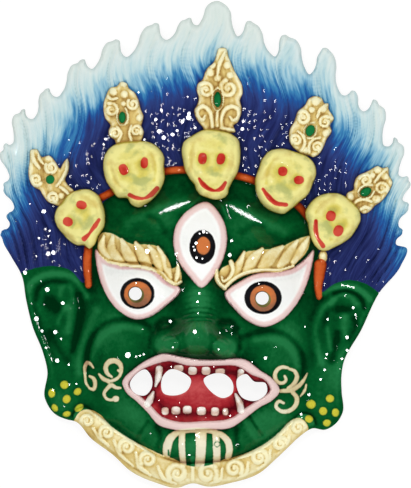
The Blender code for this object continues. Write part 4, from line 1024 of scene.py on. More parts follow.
skulls = {
    # lean: degrees clockwise; eyes: middle, half width, half height and turn; widths: those of the mouth
    "heads": (
        {
            "outline": (
                (79.4, 190), (88.3, 189.4), (98.5, 195.5), (102.6, 203.7), (105.3, 216.7), (104.6, 225.5),
                (98.5, 236.5), (94.2, 245.5), (89.6, 248.8), (84.5, 245.3), (78, 245.3), (71.2, 241.9),
                (63.7, 234.4), (56.9, 225.5), (54.8, 216.7), (56.9, 209.2), (62.3, 202.3), (68.5, 194.6),
            ),
            "middle": (80, 219), "lean": -50,
            "eyes": ((81.8, 205.0, 5.4, 4.3, 18), (68.2, 221.8, 5.2, 4.6, 28)),
            "mouth": ((99.4, 219.8), (93.6, 228.2), (88.8, 234.6), (84.6, 238.8)),
            "widths": (2.6, 4.2, 2.0, 4.8),
        },
        {
            "outline": (
                (112, 146.5), (121, 142.8), (135, 141.5), (148, 142), (158, 147.5), (164, 156.5),
                (164.2, 167), (164.5, 180), (160, 190.5), (152, 200), (145.5, 204.5), (138.5, 207.5),
                (131, 204), (127.8, 198.8), (118, 197.5), (112, 190), (106.5, 181), (103.5, 168),
                (105, 155.5),
            ),
            "middle": (135.5, 174), "lean": -19,
            "eyes": ((123.8, 169.8, 4.6, 5.8, -25), (144.5, 163.2, 3.8, 5.8, 5)),
            "mouth": ((129.8, 195), (136, 197.8), (144.4, 198.4), (151, 195), (157.2, 188.6)),
            "widths": (3.4, 3.4, 1.8, 4.6, 4.0),
        },
        {
            "outline": (
                (203.5, 130.2), (193.3, 135.2), (183.6, 142.9), (181.8, 149.5), (183.1, 160.7),
                (185.7, 171.9), (189.5, 178.6), (194.5, 185.0), (196.8, 190.8), (200.3, 194.9),
                (206.6, 197.6), (217.3, 200), (223.9, 198), (227.5, 194.4), (229.0, 188.3), (232.6, 181.1),
                (237.2, 173.5), (239.7, 163.3), (240.2, 150.5), (238.2, 140.3), (231.6, 134.2),
                (219, 130.6),
            ),
            "middle": (212, 165), "lean": 3,
            "eyes": ((202.5, 158.8, 4.4, 5.8, 5), (220.9, 159.2, 4.3, 5.9, 15)),
            "mouth": ((199.1, 178.8), (202.8, 184.2), (208.8, 188.9), (215.8, 190.8), (221.4, 188.6),
                      (225.4, 182.8)),
            "widths": (2.0, 4.6, 3.4, 1.8, 4.4, 2.6),
        },
        {
            "outline": (
                (281.2, 148.9), (270, 151), (262.5, 158.5), (258.3, 169.5), (255.3, 178), (255.1, 186.9),
                (257, 195.5), (263.8, 205.9), (274.1, 212.2), (283.6, 213.8), (290.7, 209.2),
                (298.6, 202.7), (308.1, 194), (312.8, 182.9), (316, 173.5), (313.6, 163.2), (307.3, 156.8),
                (295.4, 152.1),
            ),
            "middle": (286, 181), "lean": 30,
            "eyes": ((282.5, 171.6, 4.7, 4.8, 0), (298.6, 180.3, 5.1, 4.3, 0)),
            "mouth": ((262.8, 189.3), (268.4, 197.0), (275.7, 203.2), (286.2, 205.0)),
            "widths": (2.4, 4.4, 4.0, 3.2),
        },
        {
            "outline": (
                (329.9, 193.2), (338.8, 193.8), (346.5, 197.6), (353.5, 203.6), (358.8, 210),
                (360.5, 218.7), (355.4, 230.2), (349, 238.4), (342.6, 242.9), (333.7, 247.6),
                (326.1, 250.8), (319.7, 250.2), (313.9, 244.8), (310.1, 236.5), (307.6, 223.8),
                (305, 212.9), (309.5, 203.8), (317.6, 196.6),
            ),
            "middle": (333.5, 220), "lean": 61,
            "eyes": ((330.6, 216.0, 5.0, 5.3, 20), (338.0, 230.8, 5.0, 5.8, 30)),
            "mouth": ((315.6, 221.0), (315.4, 229.6), (317.6, 238.2), (322.8, 246.0)),
            "widths": (3.0, 4.2, 2.6, 4.0),
        },
    ),
    "rise": 13.0,
    "edge": 6.0,
    "dome": 26.0,
    "edgeShare": 0.58,
    # forms in the upright head: place, spreads and rise in carver's millimetres
    "forms": (
        ((0.0, -6.0), (3.8, 9.0), 0.6), ((-9.3, -14.5), (8.0, 3.6), 0.8), ((9.3, -14.5), (8.0, 3.6), 0.8),
        ((-15.0, 7.0), (6.0, 4.6), 1.1), ((15.0, 7.0), (6.0, 4.6), 1.1), ((1.5, 13.0), (9.5, 7.0), 1.9),
        ((1.5, 4.6), (10.0, 2.6), -0.5), ((1.5, 31.0), (9.0, 4.0), 0.9), ((-9.3, -6.0), (6.5, 7.5), -1.8),
        ((9.3, -6.0), (6.5, 7.5), -1.8),
    ),
    # greenish patches (positive) and ochre ones (negative) in the upright head: place, spreads and strength;
    # the ochre lies at the sides, under the chin and at the upper left
    "tints": (
        ((3.0, 9.0), (9.0, 3.6), 0.9), ((-1.0, 3.0), (3.4, 4.0), 0.5), ((7.0, -28.0), (6.0, 4.0), 0.7),
        ((-9.3, -2.5), (5.0, 3.0), 0.5), ((10.0, -3.0), (5.0, 3.0), 0.5),
        ((-20.0, -4.0), (4.0, 14.0), -0.8), ((20.0, -4.0), (4.0, 14.0), -0.7),
        ((1.0, 30.0), (10.0, 4.0), -0.6), ((-12.0, -24.0), (8.0, 4.0), -0.4),
    ),
    "sideGroove": ((20.5, -19.0), (22.3, -8.0), (20.6, 3.0), (16.0, 12.0)),
    "sideSink": 0.9,
    "sideHalf": 2.0,
    "eyeRise": 1.3,
    "mouthSink": 1.0,
    "mouthHalf": 2.2,
    "mouthSpread": 0.4,  # how far the red runs past the groove
}


def carveSkulls(z, x, y, ground, paint):
    for head in skulls["heads"]:
        c, s = math.cos(math.radians(head["lean"])), math.sin(math.radians(head["lean"]))
        dx, dy = x - head["middle"][0], y - head["middle"][1]
        u, v = dx * c + dy * s, dy * c - dx * s
        depth = depthInside(smoothCurve(head["outline"], 2.0), x, y, 32.0)
        share, fade = skulls["edgeShare"], pillow(depth, skulls["edge"])
        rise = skulls["rise"] * (share * fade + (1 - share) * pillow(depth, skulls["dome"]))
        for place, spread, height in skulls["forms"]:
            rise = rise + fade * height * swell(u, v, place, spread)
        groove = smoothCurve(skulls["sideGroove"], 2.0, closed=False)
        for side in (-1, 1):
            gap, _ = gapToLine(groove, u * side, v, 8.0)
            rise = rise - skulls["sideSink"] * np.exp(-((gap / skulls["sideHalf"]) ** 2))
        for eyeX, eyeY, wide, tall, turn in head["eyes"]:
            eye = roundSpot(x, y, (eyeX, eyeY), wide, tall, turn, square=2.3)
            rise = rise + skulls["eyeRise"] * pillow(eye, min(wide, tall))
            paint["markRed"] = np.maximum(paint["markRed"], eye)
        mouth, half = strokeDepth(head["mouth"], head["widths"], x, y)
        off = np.clip(half - mouth, 0.0, None) / skulls["mouthHalf"]
        rise = rise - skulls["mouthSink"] * np.exp(-(off**2))
        paint["markRed"] = np.maximum(paint["markRed"], mouth + skulls["mouthSpread"])
        z = np.where(depth > 0, np.maximum(z, ground + rise * carved), z)
        paint["boneYellow"] = np.maximum(paint["boneYellow"], depth)
        for place, spread, strength in skulls["tints"]:
            paint["skullTint"] += strength * swell(u, v, place, spread) * smoothStep(depth, 0.0, 2.0)
    return z


# What lies over the enamels, each laid out on the chart
varnish = {
    # drops that catch the light: place and radius
    "drops": (
        (47.5, 289.4, 2.6), (63, 303, 2.2), (36.6, 318.7, 2.6), (42.3, 330.8, 1.9), (55.5, 332, 2.4),
        (61.3, 338.8, 1.6), (57.5, 360.5, 2.4), (69, 364.5, 1.6), (46.2, 347.5, 1.6), (128.2, 354.6, 3.2),
        (136.5, 356.2, 1.5), (140.5, 355.2, 1.5), (144.0, 353.8, 1.5), (195, 331, 2.4),
        (197.4, 301.5, 1.7), (198, 312.6, 1.3), (199.4, 293, 1.7), (265.3, 357.6, 2.0), (252, 361.4, 1.2),
        (170.5, 321, 1.9), (218.5, 348.6, 1.4), (173.2, 346.8, 1.3), (219.6, 332.4, 1.3), (342, 285, 1.6),
        (347.6, 286, 1.6), (353.2, 287.4, 1.5), (353.0, 307.6, 1.8), (355.2, 314.6, 1.6),
        (327.4, 319.2, 1.6), (346.8, 337.2, 2.1), (326.4, 354, 1.7), (325.7, 358, 1.5),
        (324.5, 369.6, 1.7), (320.4, 379, 1.7), (347, 350.2, 1.8), (341.7, 358.6, 1.8),
        (304.6, 326.4, 1.3), (308.8, 394.4, 1.8), (301, 413.8, 1.6), (231.5, 240.8, 1.9),
        (229.5, 255, 2.2), (176.5, 253.6, 2.0), (203.6, 231.8, 2.0), (196.2, 243.2, 2.0),
        (207.4, 246.6, 1.3), (196.6, 257.6, 1.6), (202.4, 258.6, 1.3), (258.6, 283.6, 1.2),
        (261.6, 287.2, 1.0), (136.5, 282.8, 1.3), (41.4, 281.2, 1.3), (25.2, 272.6, 2.4),
        (44, 211.5, 2.4), (30, 204, 1.3), (45.5, 229, 1.5), (50, 231, 1.5), (48.5, 236, 1.5),
        (39, 238, 1.6), (51, 243, 1.6), (48.3, 253.8, 2.5), (53.6, 252.6, 2.5), (36.5, 256, 1.4),
        (138.8, 92.4, 1.6), (161.7, 110.3, 1.9), (155.9, 119.8, 2.1), (159.3, 131.4, 2.6),
        (163.7, 137.8, 2.5), (172.6, 134.8, 2.2), (177.2, 130.8, 1.8), (182, 122.2, 2.0),
        (188.8, 117.8, 3.0), (195, 127.8, 1.8), (189, 113.6, 2.0), (187.6, 96.9, 1.5),
        (105.5, 139.4, 1.8), (103.9, 144.7, 1.6), (242.4, 129.2, 2.2), (243.2, 121.8, 1.8),
        (144.7, 139.8, 1.4), (130.4, 270.4, 1.0), (147.6, 251.2, 2.8), (136, 248, 1.5), (157, 256, 1.2),
        (253, 258, 1.7), (263, 252.5, 1.3), (159.3, 400.2, 1.1), (179.8, 401.8, 1.1), (198.2, 409.4, 1.3),
        (224.0, 410.2, 1.2), (230.2, 415.2, 1.4), (176.6, 416.2, 1.2), (171.2, 366.4, 1.2),
        (213.6, 366.0, 1.0), (205.8, 417.4, 1.0), (186.2, 391.6, 0.9), (196.8, 434.2, 1.8),
        (195.2, 439.6, 1.3), (189.4, 454.2, 1.4), (216.8, 438.2, 1.4), (182.8, 443.0, 1.2),
        (194.6, 250.0, 1.6), (199.6, 233.6, 1.3), (193.4, 246.8, 1.2), (207.0, 233.0, 1.2),
        (183.8, 120.0, 1.5), (69.6, 384.2, 1.2), (53, 389.8, 1.6), (76.5, 383.6, 1.3),
    ),
    "dropRise": 0.25,
    # streaks that glimmer on the forehead, a cheek and the right ear: points and widths
    "streaks": (
        (((160, 213), (167, 210), (176, 206.5), (190, 201.5)), (4.0, 10.0, 9.0, 4.0)),
        (((230, 206), (237, 210), (247, 215.5), (261, 222.5)), (5.0, 10.5, 9.5, 4.0)),
        (((135.5, 356.4), (140.5, 355.2), (145, 353.6)), (3.0, 2.8, 3.0)),
        (((342, 285), (348, 286), (354, 287.4)), (3.0, 3.6, 3.0)),
        (((226, 203), (228, 212), (231, 219)), (2.0, 3.0, 1.6)),
        (((176, 254), (177, 262), (180, 270)), (1.6, 3.0, 1.6)),
    ),
    # painted shade and painted light over the enamels, with some of the paint's own tone: middle, spreads and
    # strength
    "shadeAndToneGlazes": (
        ((126, 417), (24, 18), 0.26), ((273, 422), (24, 18), 0.38), ((337, 372), (13, 18), 0.24),
        ((63, 399), (24, 24), -0.02), ((322, 410), (20, 18), -0.08), ((50, 320), (20, 34), -0.22),
        ((345, 322), (22, 30), -0.16), ((63, 372), (12, 14), -0.06), ((110, 345), (22, 22), -0.16),
        ((280, 348), (22, 20), -0.08), ((197, 338), (19, 17), -0.32), ((169, 344), (12, 13), -0.22),
        ((222, 347), (12, 13), -0.22), ((197, 387), (14, 8), 0.14), ((175, 373), (10, 6), -0.14),
        ((150, 386), (14, 12), -0.18), ((250, 404), (14, 8), -0.18), ((164, 402), (9, 8), -0.10),
        ((230, 404), (9, 8), -0.10), ((225, 371), (14, 5), -0.12), ((104, 421), (14, 8), 0.20),
        ((128, 437), (16, 9), 0.28), ((152, 447), (16, 9), 0.28), ((248, 447), (16, 9), 0.28),
        ((268, 436), (16, 9), 0.28), ((284, 422), (12, 8), 0.22), ((130, 250), (42, 12), -0.10),
        ((272, 256), (44, 12), -0.10), ((195, 476), (44, 11), 0.24), ((262, 462), (26, 10), 0.10),
        ((203, 245), (8, 10), 0.36), ((120, 232), (16, 8), 0.20), ((277, 226), (18, 10), 0.20),
        ((150, 212), (30, 13), 0.14), ((252, 222), (28, 13), 0.14), ((92, 433), (9, 8), -0.20),
        ((118, 453), (12, 7), -0.16), ((160, 226), (14, 8), 0.10), ((243, 238), (10, 9), 0.08),
        ((138, 285), (10, 4), 0.20), ((80, 219), (26, 26), 0.06), ((310, 132), (20, 26), 0.08),
        ((263, 289), (11, 4), 0.20), ((138, 303), (11, 7), -0.18), ((263, 307), (12, 7), -0.18),
        ((106, 262), (11, 8), 0.25), ((300, 280), (10, 14), 0.25),
    ),
}

# The enamels in the order they go on
paintNames = (
    "faceGreen", "lidRose", "eyeWhite", "ringBlack", "irisOrange", "pupilWallShade", "creamPaint",
    "goldPaint", "mouthCrimson", "toothWhite", "gemGreen", "bandOrange", "dotYellow", "boneYellow",
    "markRed",
)


def carveFront(x, y, edgeDepth):
    paint = {name: np.full(x.shape, -paintReach) for name in (*paintNames, "flatDrop")}
    paint["skullTint"] = np.zeros(x.shape)
    # painted shade and light, with some of the paint's own tone, laid over the enamels
    shadeAndToneGlazes = (strength * swell(x, y, middle, spread) for middle, spread, strength in varnish["shadeAndToneGlazes"])
    paint["shadeAndToneGlaze"] = sum(shadeAndToneGlazes)
    paint["sheen"] = np.zeros(x.shape)
    ground = body(x, y)
    z = carveHair(ground, x, y, edgeDepth, paint)
    z = carveEars(z, x, y, paint)
    z = carveNose(z, x, y)
    z = carveEyes(z, x, y, paint)
    z = carveBrows(z, x, y, paint)
    z = carveJaws(z, x, y, paint)
    z = carveScrolls(z, x, y, paint)
    z = carveBeard(z, x, y, paint)
    z = carveLeaves(z, x, y, paint)
    z = carveBands(z, x, y, paint)
    z = carveSkulls(z, x, y, ground, paint)
    for dropX, dropY, radius in varnish["drops"]:
        drop = roundSpot(x, y, (dropX, dropY), radius, radius)
        z = z + varnish["dropRise"] * carved * pillow(drop, radius)
        paint["flatDrop"] = np.maximum(paint["flatDrop"], drop)
    for points, widths in varnish["streaks"]:
        streak, half = strokeDepth(points, widths, x, y, 1.0)
        paint["sheen"] = np.maximum(paint["sheen"], np.clip(streak / half, 0.0, 1.0))
    for name in (*paintNames, "flatDrop"):
        paint[name] = np.clip(paint[name], -paintReach, paintReach)
    return z, paint


def hollowDepth(x, y):
    rim = depthInside(chartEdge, x, y, 200.0)
    foot = depthInside(smoothCurve(face["hollow"], 5.0), x, y, 200.0)
    return np.minimum(foot, rim - mask["rimLand"] / unit)


def carveBack(x, y, inner):
    step = 0.5
    slopeX = (body(x + step, y) - body(x - step, y)) / (2 * step * unit)
    slopeY = (body(x, y + step) - body(x, y - step)) / (2 * step * unit)
    under = body(x, y) - mask["wall"] * np.sqrt(1 + slopeX**2 + slopeY**2)
    return np.clip(np.minimum(under, inner * unit * face["hollowSlope"]), 0.0, None)


bore = mask["pupilBore"] / 2 / unit
holes = [ellipseLoop(middle, bore, bore, 36) for middle in eyes["pupils"]]
holes += [smoothCurve(gap, 1.6) for gap in jaws["gaps"]]

# How the corners of the mesh are laid out, in chart units
lay = {
    "seamInset": 0.7,  # a second line of corners inside the foot of a skull or leaf
    "seamClear": 0.42,
    "ornateSpots": (((105, 380), 24, 24), ((290, 390), 22, 26), ((198, 340), 46, 32)),
    "chinSpot": ((197, 448), 40, 24),
}


def moved(loop, distance):
    # a closed loop moved towards its inside
    run = np.roll(loop, -1, 0) - np.roll(loop, 1, 0)
    run /= np.hypot(*run.T)[:, None]
    turn = np.sign(np.sum(loop[:, 0] * np.roll(loop[:, 1], -1) - np.roll(loop[:, 0], -1) * loop[:, 1]))
    return loop + np.column_stack((-run[:, 1], run[:, 0])) * distance * turn


def crispLoops():
    # lines that the corners of the mesh follow, so that steep edges stay clean
    fine = mask["fineStep"]
    found = []
    for raised in (*skulls["heads"], *leaves["plates"]):
        loop = smoothCurve(raised["outline"], fine)
        found += [loop, moved(loop, lay["seamInset"])]
    found += [smoothCurve(loop, fine) for loop in (*eyes["lids"], jaws["lips"], jaws["mouth"])]
    return found


def isOrnate(x, y):
    # true where the carving is fine enough to need the small step
    ornate = np.zeros(x.shape, bool)
    loops = [raised["outline"] for raised in (*skulls["heads"], *leaves["plates"])]
    loops += [*brows["plates"], jaws["lips"]]
    for loop in loops:
        ornate |= depthInside(smoothCurve(loop, 4.0), x, y, 3.0) > -2.5
    for middle, wide, tall in (*eyes["rings"], *lay["ornateSpots"]):
        ornate |= roundSpot(x, y, middle, wide + 2, tall + 2) > 0
    ornate |= depthInside(smoothCurve(beard["paintEdge"], 4.0), x, y, 3.0) > -2.0
    for middle, wide, tall in (lay["chinSpot"], *ears["lobes"]):
        ornate |= roundSpot(x, y, middle, wide, tall) > 0
    return ornate


def lattice(step, clear):
    low, high = edge.min(0), edge.max(0)
    rows = np.arange(low[1], high[1], step * math.sqrt(0.75))
    columns = np.arange(low[0], high[0], step)
    x, y = np.meshgrid(columns, rows)
    x = x + (np.arange(len(rows)) % 2)[:, None] * step / 2
    x, y = x.ravel(), y.ravel()
    keep = depthInside(edge, x, y, 6.0) > clear
    for hole in holes:
        keep &= depthInside(hole, x, y, 6.0) < -clear
    return x[keep], y[keep]


def frontPlaces():
    places = []
    for step, wanted in ((mask["fineStep"], True), (mask["plainStep"], False)):
        x, y = lattice(step, step * 0.55)
        keep = isOrnate(x, y) == wanted
        places.append(np.column_stack((x[keep], y[keep])))
    places = np.vstack(places)
    seams = []
    for loop in crispLoops():
        off = np.abs(depthInside(loop, places[:, 0], places[:, 1], 2.0))
        places = places[off >= mask["fineStep"] * lay["seamClear"]]
        shown = depthInside(edge, *loop.T, 6.0) > 1.0
        for hole in holes:
            shown &= depthInside(hole, *loop.T, 6.0) < -0.8
        seams.append(loop[shown])
    return np.vstack((*seams, places))


def backPlaces():
    x, y = lattice(mask["backStep"], mask["backStep"] * 0.4)
    inner = hollowDepth(x, y)
    step = 0.25
    leanX = (hollowDepth(x + step, y) - hollowDepth(x - step, y)) / (2 * step)
    leanY = (hollowDepth(x, y + step) - hollowDepth(x, y - step)) / (2 * step)
    foot = np.abs(inner) < mask["backStep"] * 0.5
    far = inner * foot / np.maximum(leanX**2 + leanY**2, 0.5)
    inner = np.where(foot, 0.0, inner)
    keep = inner >= 0.0
    return np.column_stack((x - leanX * far, y - leanY * far))[keep], inner[keep]


def triangulate(places):
    # triangles over the outline less the holes; the corners of the loops come first
    loops = [edge, *holes]
    sides, start = [], 0
    for loop in loops:
        sides += [(start + i, start + (i + 1) % len(loop)) for i in range(len(loop))]
        start += len(loop)
    corners = [Vector(corner) for corner in np.vstack([*loops, places]).tolist()]
    found, _, faces, _, _, _ = delaunay_2d_cdt(corners, sides, [], 0, 1e-6, False)
    found = np.array([tuple(place) for place in found])
    faces = np.array([tuple(corner) for corner in faces])
    middle = found[faces].mean(1)
    keep = depthInside(edge, middle[:, 0], middle[:, 1], 6.0) > 0
    for hole in holes:
        keep &= depthInside(hole, middle[:, 0], middle[:, 1], 6.0) < 0
    return found, faces[keep], start


def world(places, height):
    x = (places[:, 0] - chartMiddle[0]) * unit
    y = (chartMiddle[1] - places[:, 1]) * unit
    return np.column_stack((x, y, height))


def meanHeight(values, pairs, passes):
    # the heights evened out over their neighbours
    a, b = pairs.T
    count = np.bincount(a, minlength=len(values)) + np.bincount(b, minlength=len(values)) + 1.0
    for _ in range(passes):
        total = values + np.bincount(a, values[b], len(values)) + np.bincount(b, values[a], len(values))
        values = total / count
    return values


# One flat map for the paint: shares of its side
bakeSheet = {
    "margin": 0.005,
    "frontTall": 0.835,
    "backLeft": 0.725,
    "backWide": 0.27,
    "wallsFrom": 0.86,
    "wallPitch": 0.019,
    "wallTall": 0.014,
}


def bakeMap(mesh, points, frontCount, backCount, loopLengths):
    # the front large, the back small beside it, and the walls in rows above
    margin = bakeSheet["margin"]
    low, size = points.min(0), np.ptp(points, axis=0)
    scale = bakeSheet["frontTall"] / size[1]
    corner = np.empty(len(mesh.loops), np.int64)
    mesh.loops.foreach_get("vertex_index", corner)
    place = points[corner, :2] - low[:2]
    uv = place * scale + margin
    backLoops = slice(frontCount * 3, (frontCount + backCount) * 3)
    uv[backLoops] = place[backLoops] * (bakeSheet["backWide"] / size[0]) + (bakeSheet["backLeft"], margin)
    start = (frontCount + backCount) * 3
    for row, length in enumerate(loopLengths):
        along = np.arange(length)
        left, right = along / length, (along + 1) / length
        base = bakeSheet["wallsFrom"] + row * bakeSheet["wallPitch"]
        # the outer wall starts its faces at another corner than the walls of the holes
        across, up = ((left, right, right, left), (1.0, 1.0, 0.0, 0.0))
        if row > 0:
            across, up = ((left, left, right, right), (1.0, 0.0, 0.0, 1.0))
        u = margin + np.column_stack(across).ravel() * (1 - 2 * margin)
        v = base + np.tile(up, length) * bakeSheet["wallTall"]
        uv[start : start + length * 4] = np.column_stack((u, v))
        start += length * 4
    layer = mesh.uv_layers.new(name="OFBake")
    layer.data.foreach_set("uv", uv.astype(np.float32).ravel())


def wallFaces(base):
    # the outer wall and the walls of the holes, from the front's corners to the back's
    walls, start = [], 0
    for number, loop in enumerate((edge, *holes)):
        first = start + np.arange(len(loop))
        second = start + (np.arange(len(loop)) + 1) % len(loop)
        wall = np.column_stack((first, second, second + base, first + base))
        walls.append(wall if number == 0 else wall[:, ::-1][:, [3, 0, 1, 2]])
        start += len(loop)
    return np.vstack(walls)


def creasesAndHollows(faces, height, edgeDepth):
    # how far each corner stands above its near and its wider surroundings, in millimetres; the enamels and
    # strands take their painted shade and painted highlight from these
    pairs = np.vstack((faces[:, [0, 1]], faces[:, [1, 2]], faces[:, [2, 0]]))
    pairs = np.unique(np.sort(pairs, 1), axis=0)
    inland = smoothStep(edgeDepth, 0.8, 5.0)
    crease = np.clip((height - meanHeight(height, pairs, 6)) * 1000, -0.8, 0.8) * inland
    hollow = np.clip((height - meanHeight(height, pairs, 60)) * 1000, -1.2, 1.6) * inland
    return crease, hollow


def castMask():
    places, faces, rim = triangulate(frontPlaces())
    print("front laid out:", len(places), "corners,", len(faces), "faces")
    edgeDepth = depthInside(edge, places[:, 0], places[:, 1], 12.0)
    edgeDepth[: len(edge)] = 0.0
    height, layers = carveFront(places[:, 0], places[:, 1], edgeDepth)
    print("front carved: highest", round(float(height.max()) * 1000, 1), "mm")
    layers["crease"], layers["broadHollow"] = creasesAndHollows(faces, height, edgeDepth)
    top = world(places, height)

    backCorners, backInner = backPlaces()
    backChart, backFaces, _ = triangulate(backCorners)
    inner = np.concatenate((np.zeros(len(edge)), hollowDepth(*backChart[len(edge) : rim].T), backInner))
    under = world(backChart, carveBack(backChart[:, 0], backChart[:, 1], inner))
    print("back carved:", len(backFaces), "faces")

    base = len(top)
    allFaces = [*faces[:, ::-1].tolist(), *(backFaces + base).tolist(), *wallFaces(base).tolist()]
    points = np.vstack((top, under))
    mesh = bpy.data.meshes.new("wrathfulMask")
    mesh.from_pydata(points.tolist(), [], allFaces)
    for name, values in layers.items():
        full = np.zeros(len(points))
        full[:base] = values
        full[base : base + rim] = values[:rim]
        mesh.attributes.new(name, "FLOAT", "POINT").data.foreach_set("value", full.astype(np.float32))
    bare = np.concatenate((np.zeros(base), np.ones(len(under))))
    mesh.attributes.new("bareResin", "FLOAT", "POINT").data.foreach_set("value", bare.astype(np.float32))
    bakeMap(mesh, points, len(faces), len(backFaces), [len(loop) for loop in (edge, *holes)])
    mesh.shade_smooth()
    mesh.set_sharp_from_angle(angle=math.radians(mask["sharpAngle"]))
    made = bpy.data.objects.new("wrathfulMask", mesh)
    bpy.context.scene.collection.objects.link(made)
    print("mask cast:", sum(len(face) - 2 for face in allFaces), "triangles")
    return made


def addNode(tree, kind, settings=None, **inputs):
    made = tree.nodes.new(kind)
    for name, value in (settings or {}).items():
        setattr(made, name, value)
    for name, value in inputs.items():
        socket = made.inputs[int(name[1:])] if name[0] == "i" and name[1:].isdigit() else made.inputs[name]
        if isinstance(value, bpy.types.NodeSocket):
            tree.links.new(value, socket)
        else:
            socket.default_value = value
    return made


def maths(tree, operation, first, second=0.5, third=None):
    values = {"i0": first, "i1": second}
    if third is not None:
        values["i2"] = third
    return addNode(tree, "ShaderNodeMath", {"operation": operation}, **values).outputs[0]


def attribute(tree, name):
    return addNode(tree, "ShaderNodeAttribute", {"attribute_name": name}).outputs["Fac"]


def remap(tree, value, fromLow, fromHigh, toLow=0.0, toHigh=1.0, smooth=True):
    made = addNode(
        tree, "ShaderNodeMapRange", {"interpolation_type": "SMOOTHSTEP" if smooth else "LINEAR"},
        i0=value, i1=fromLow, i2=fromHigh, i3=toLow, i4=toHigh,
    )
    return made.outputs[0]


def ramp(tree, value, stops):
    made = addNode(tree, "ShaderNodeValToRGB", i0=value)
    elements = made.color_ramp.elements
    while len(elements) < len(stops):
        elements.new(0.5)
    for element, (place, colour) in zip(elements, stops):
        element.position = place
        element.color = (*colour, 1.0)
    return made.outputs["Color"]


def blend(tree, amount, under, over, kind="MIX"):
    made = addNode(tree, "ShaderNodeMix", {"data_type": "RGBA", "blend_type": kind})
    for socket, value in ((made.inputs[0], amount), (made.inputs[6], under), (made.inputs[7], over)):
        if isinstance(value, bpy.types.NodeSocket):
            tree.links.new(value, socket)
        else:
            socket.default_value = value if isinstance(value, float) else (*value, 1.0)
    return made.outputs[2]


def noise(tree, place, scale, detail, **more):
    made = addNode(tree, "ShaderNodeTexNoise", Vector=place, Scale=scale, Detail=detail, **more)
    return made.outputs["Fac"]


def vectorMath(tree, operation, first, second=(0.0, 0.0, 0.0)):
    return addNode(tree, "ShaderNodeVectorMath", {"operation": operation}, i0=first, i1=second)


hairPaint = {
    "across": 4.6,
    "along": 1.7,
    "streaks": 1.5,
    # how far the creases shift the tone, and how strongly the painted shade of the strands darkens the colour
    "crease": 0.25,
    "shading": 0.9,
    # navy at the roots to the pale tips
    "stops": (
        (0.02, (0.007, 0.010, 0.050)), (0.15, (0.015, 0.021, 0.105)), (0.26, (0.025, 0.038, 0.160)),
        (0.33, (0.028, 0.054, 0.215)), (0.42, (0.018, 0.100, 0.350)), (0.50, (0.055, 0.250, 0.490)),
        (0.60, (0.300, 0.545, 0.685)), (0.69, (0.540, 0.720, 0.750)), (0.80, (0.660, 0.780, 0.780)),
        (0.95, (0.720, 0.800, 0.760)),
    ),
    # painted shade of the strands, darkest in their creases and along the darker streaks of the paint
    "shades": ((0.12, (0.58, 0.64, 0.62)), (0.38, (0.92, 0.95, 0.94)), (0.70, (1.0, 1.0, 1.0))),
}


def hairColour(tree, crease):
    # streaked along the locks, from navy to pale, with painted shade in the creases between the strands
    flow = addNode(
        tree, "ShaderNodeCombineXYZ",
        X=maths(tree, "MULTIPLY", attribute(tree, "hairAcross"), hairPaint["across"]),
        Y=maths(tree, "MULTIPLY", attribute(tree, "hairAlong"), hairPaint["along"]),
    ).outputs[0]
    streak = noise(tree, flow, 1.0, 3.0, Roughness=0.6)
    tone = maths(tree, "ADD", attribute(tree, "hairTone"), -hairPaint["streaks"] / 2)
    tone = maths(tree, "MULTIPLY_ADD", streak, hairPaint["streaks"], tone)
    tone = maths(tree, "MULTIPLY_ADD", crease, hairPaint["crease"], tone)
    colour = ramp(tree, remap(tree, tone, -1.0, 2.0, smooth=False), hairPaint["stops"])
    shade = maths(tree, "MULTIPLY_ADD", streak, 0.5, maths(tree, "MULTIPLY_ADD", crease, 0.5, 0.25))
    colour = blend(tree, hairPaint["shading"], colour, ramp(tree, shade, hairPaint["shades"]), "MULTIPLY")
    return colour, tone, streak


# Each enamel: its painted shade for the creases and hollows, its own colour, and its painted highlight for
# the ridges; how soft its edge is
enamels = {
    "faceGreen": ((0.000, 0.026, 0.006), (0.002, 0.094, 0.021), (0.015, 0.180, 0.054), 0.4),
    "lidRose": ((0.52, 0.27, 0.28), (0.735, 0.47, 0.46), (0.85, 0.64, 0.61), 0.4),
    "eyeWhite": ((0.78, 0.80, 0.77), (0.95, 0.96, 0.93), (0.97, 0.98, 0.96), 1.6),
    "ringBlack": ((0.002, 0.002, 0.002), (0.004, 0.004, 0.005), (0.012, 0.012, 0.014), 0.5),
    "irisOrange": ((0.13, 0.050, 0.02), (0.28, 0.125, 0.068), (0.64, 0.19, 0.055), 0.6),
    # the painted shade of the bore's wall
    "pupilWallShade": ((0.02, 0.015, 0.004), (0.11, 0.10, 0.03), (0.20, 0.19, 0.06), 0.4),
    "creamPaint": ((0.44, 0.28, 0.16), (0.70, 0.60, 0.34), (0.88, 0.83, 0.62), 0.5),
    "goldPaint": ((0.38, 0.21, 0.050), (0.72, 0.545, 0.19), (0.97, 0.91, 0.58), 0.4),
    "mouthCrimson": ((0.12, 0.004, 0.010), (0.41, 0.020, 0.030), (0.62, 0.11, 0.11), 0.5),
    "toothWhite": ((0.80, 0.58, 0.46), (0.98, 0.93, 0.82), (0.99, 0.98, 0.91), 0.4),
    "gemGreen": ((0.000, 0.024, 0.008), (0.000, 0.100, 0.024), (0.01, 0.18, 0.05), 0.35),
    "bandOrange": ((0.17, 0.016, 0.005), (0.385, 0.050, 0.006), (0.60, 0.11, 0.025), 0.35),
    "dotYellow": ((0.22, 0.30, 0.03), (0.44, 0.49, 0.036), (0.62, 0.57, 0.05), 0.5),
    "boneYellow": ((0.46, 0.38, 0.06), (0.73, 0.64, 0.14), (0.86, 0.80, 0.30), 0.35),
    "markRed": ((0.20, 0.012, 0.008), (0.50, 0.024, 0.016), (0.64, 0.08, 0.05), 0.5),
}
# enamels whose painted shade follows the fine creases more and the broad hollows less
deepCreases = ("goldPaint", "mouthCrimson")
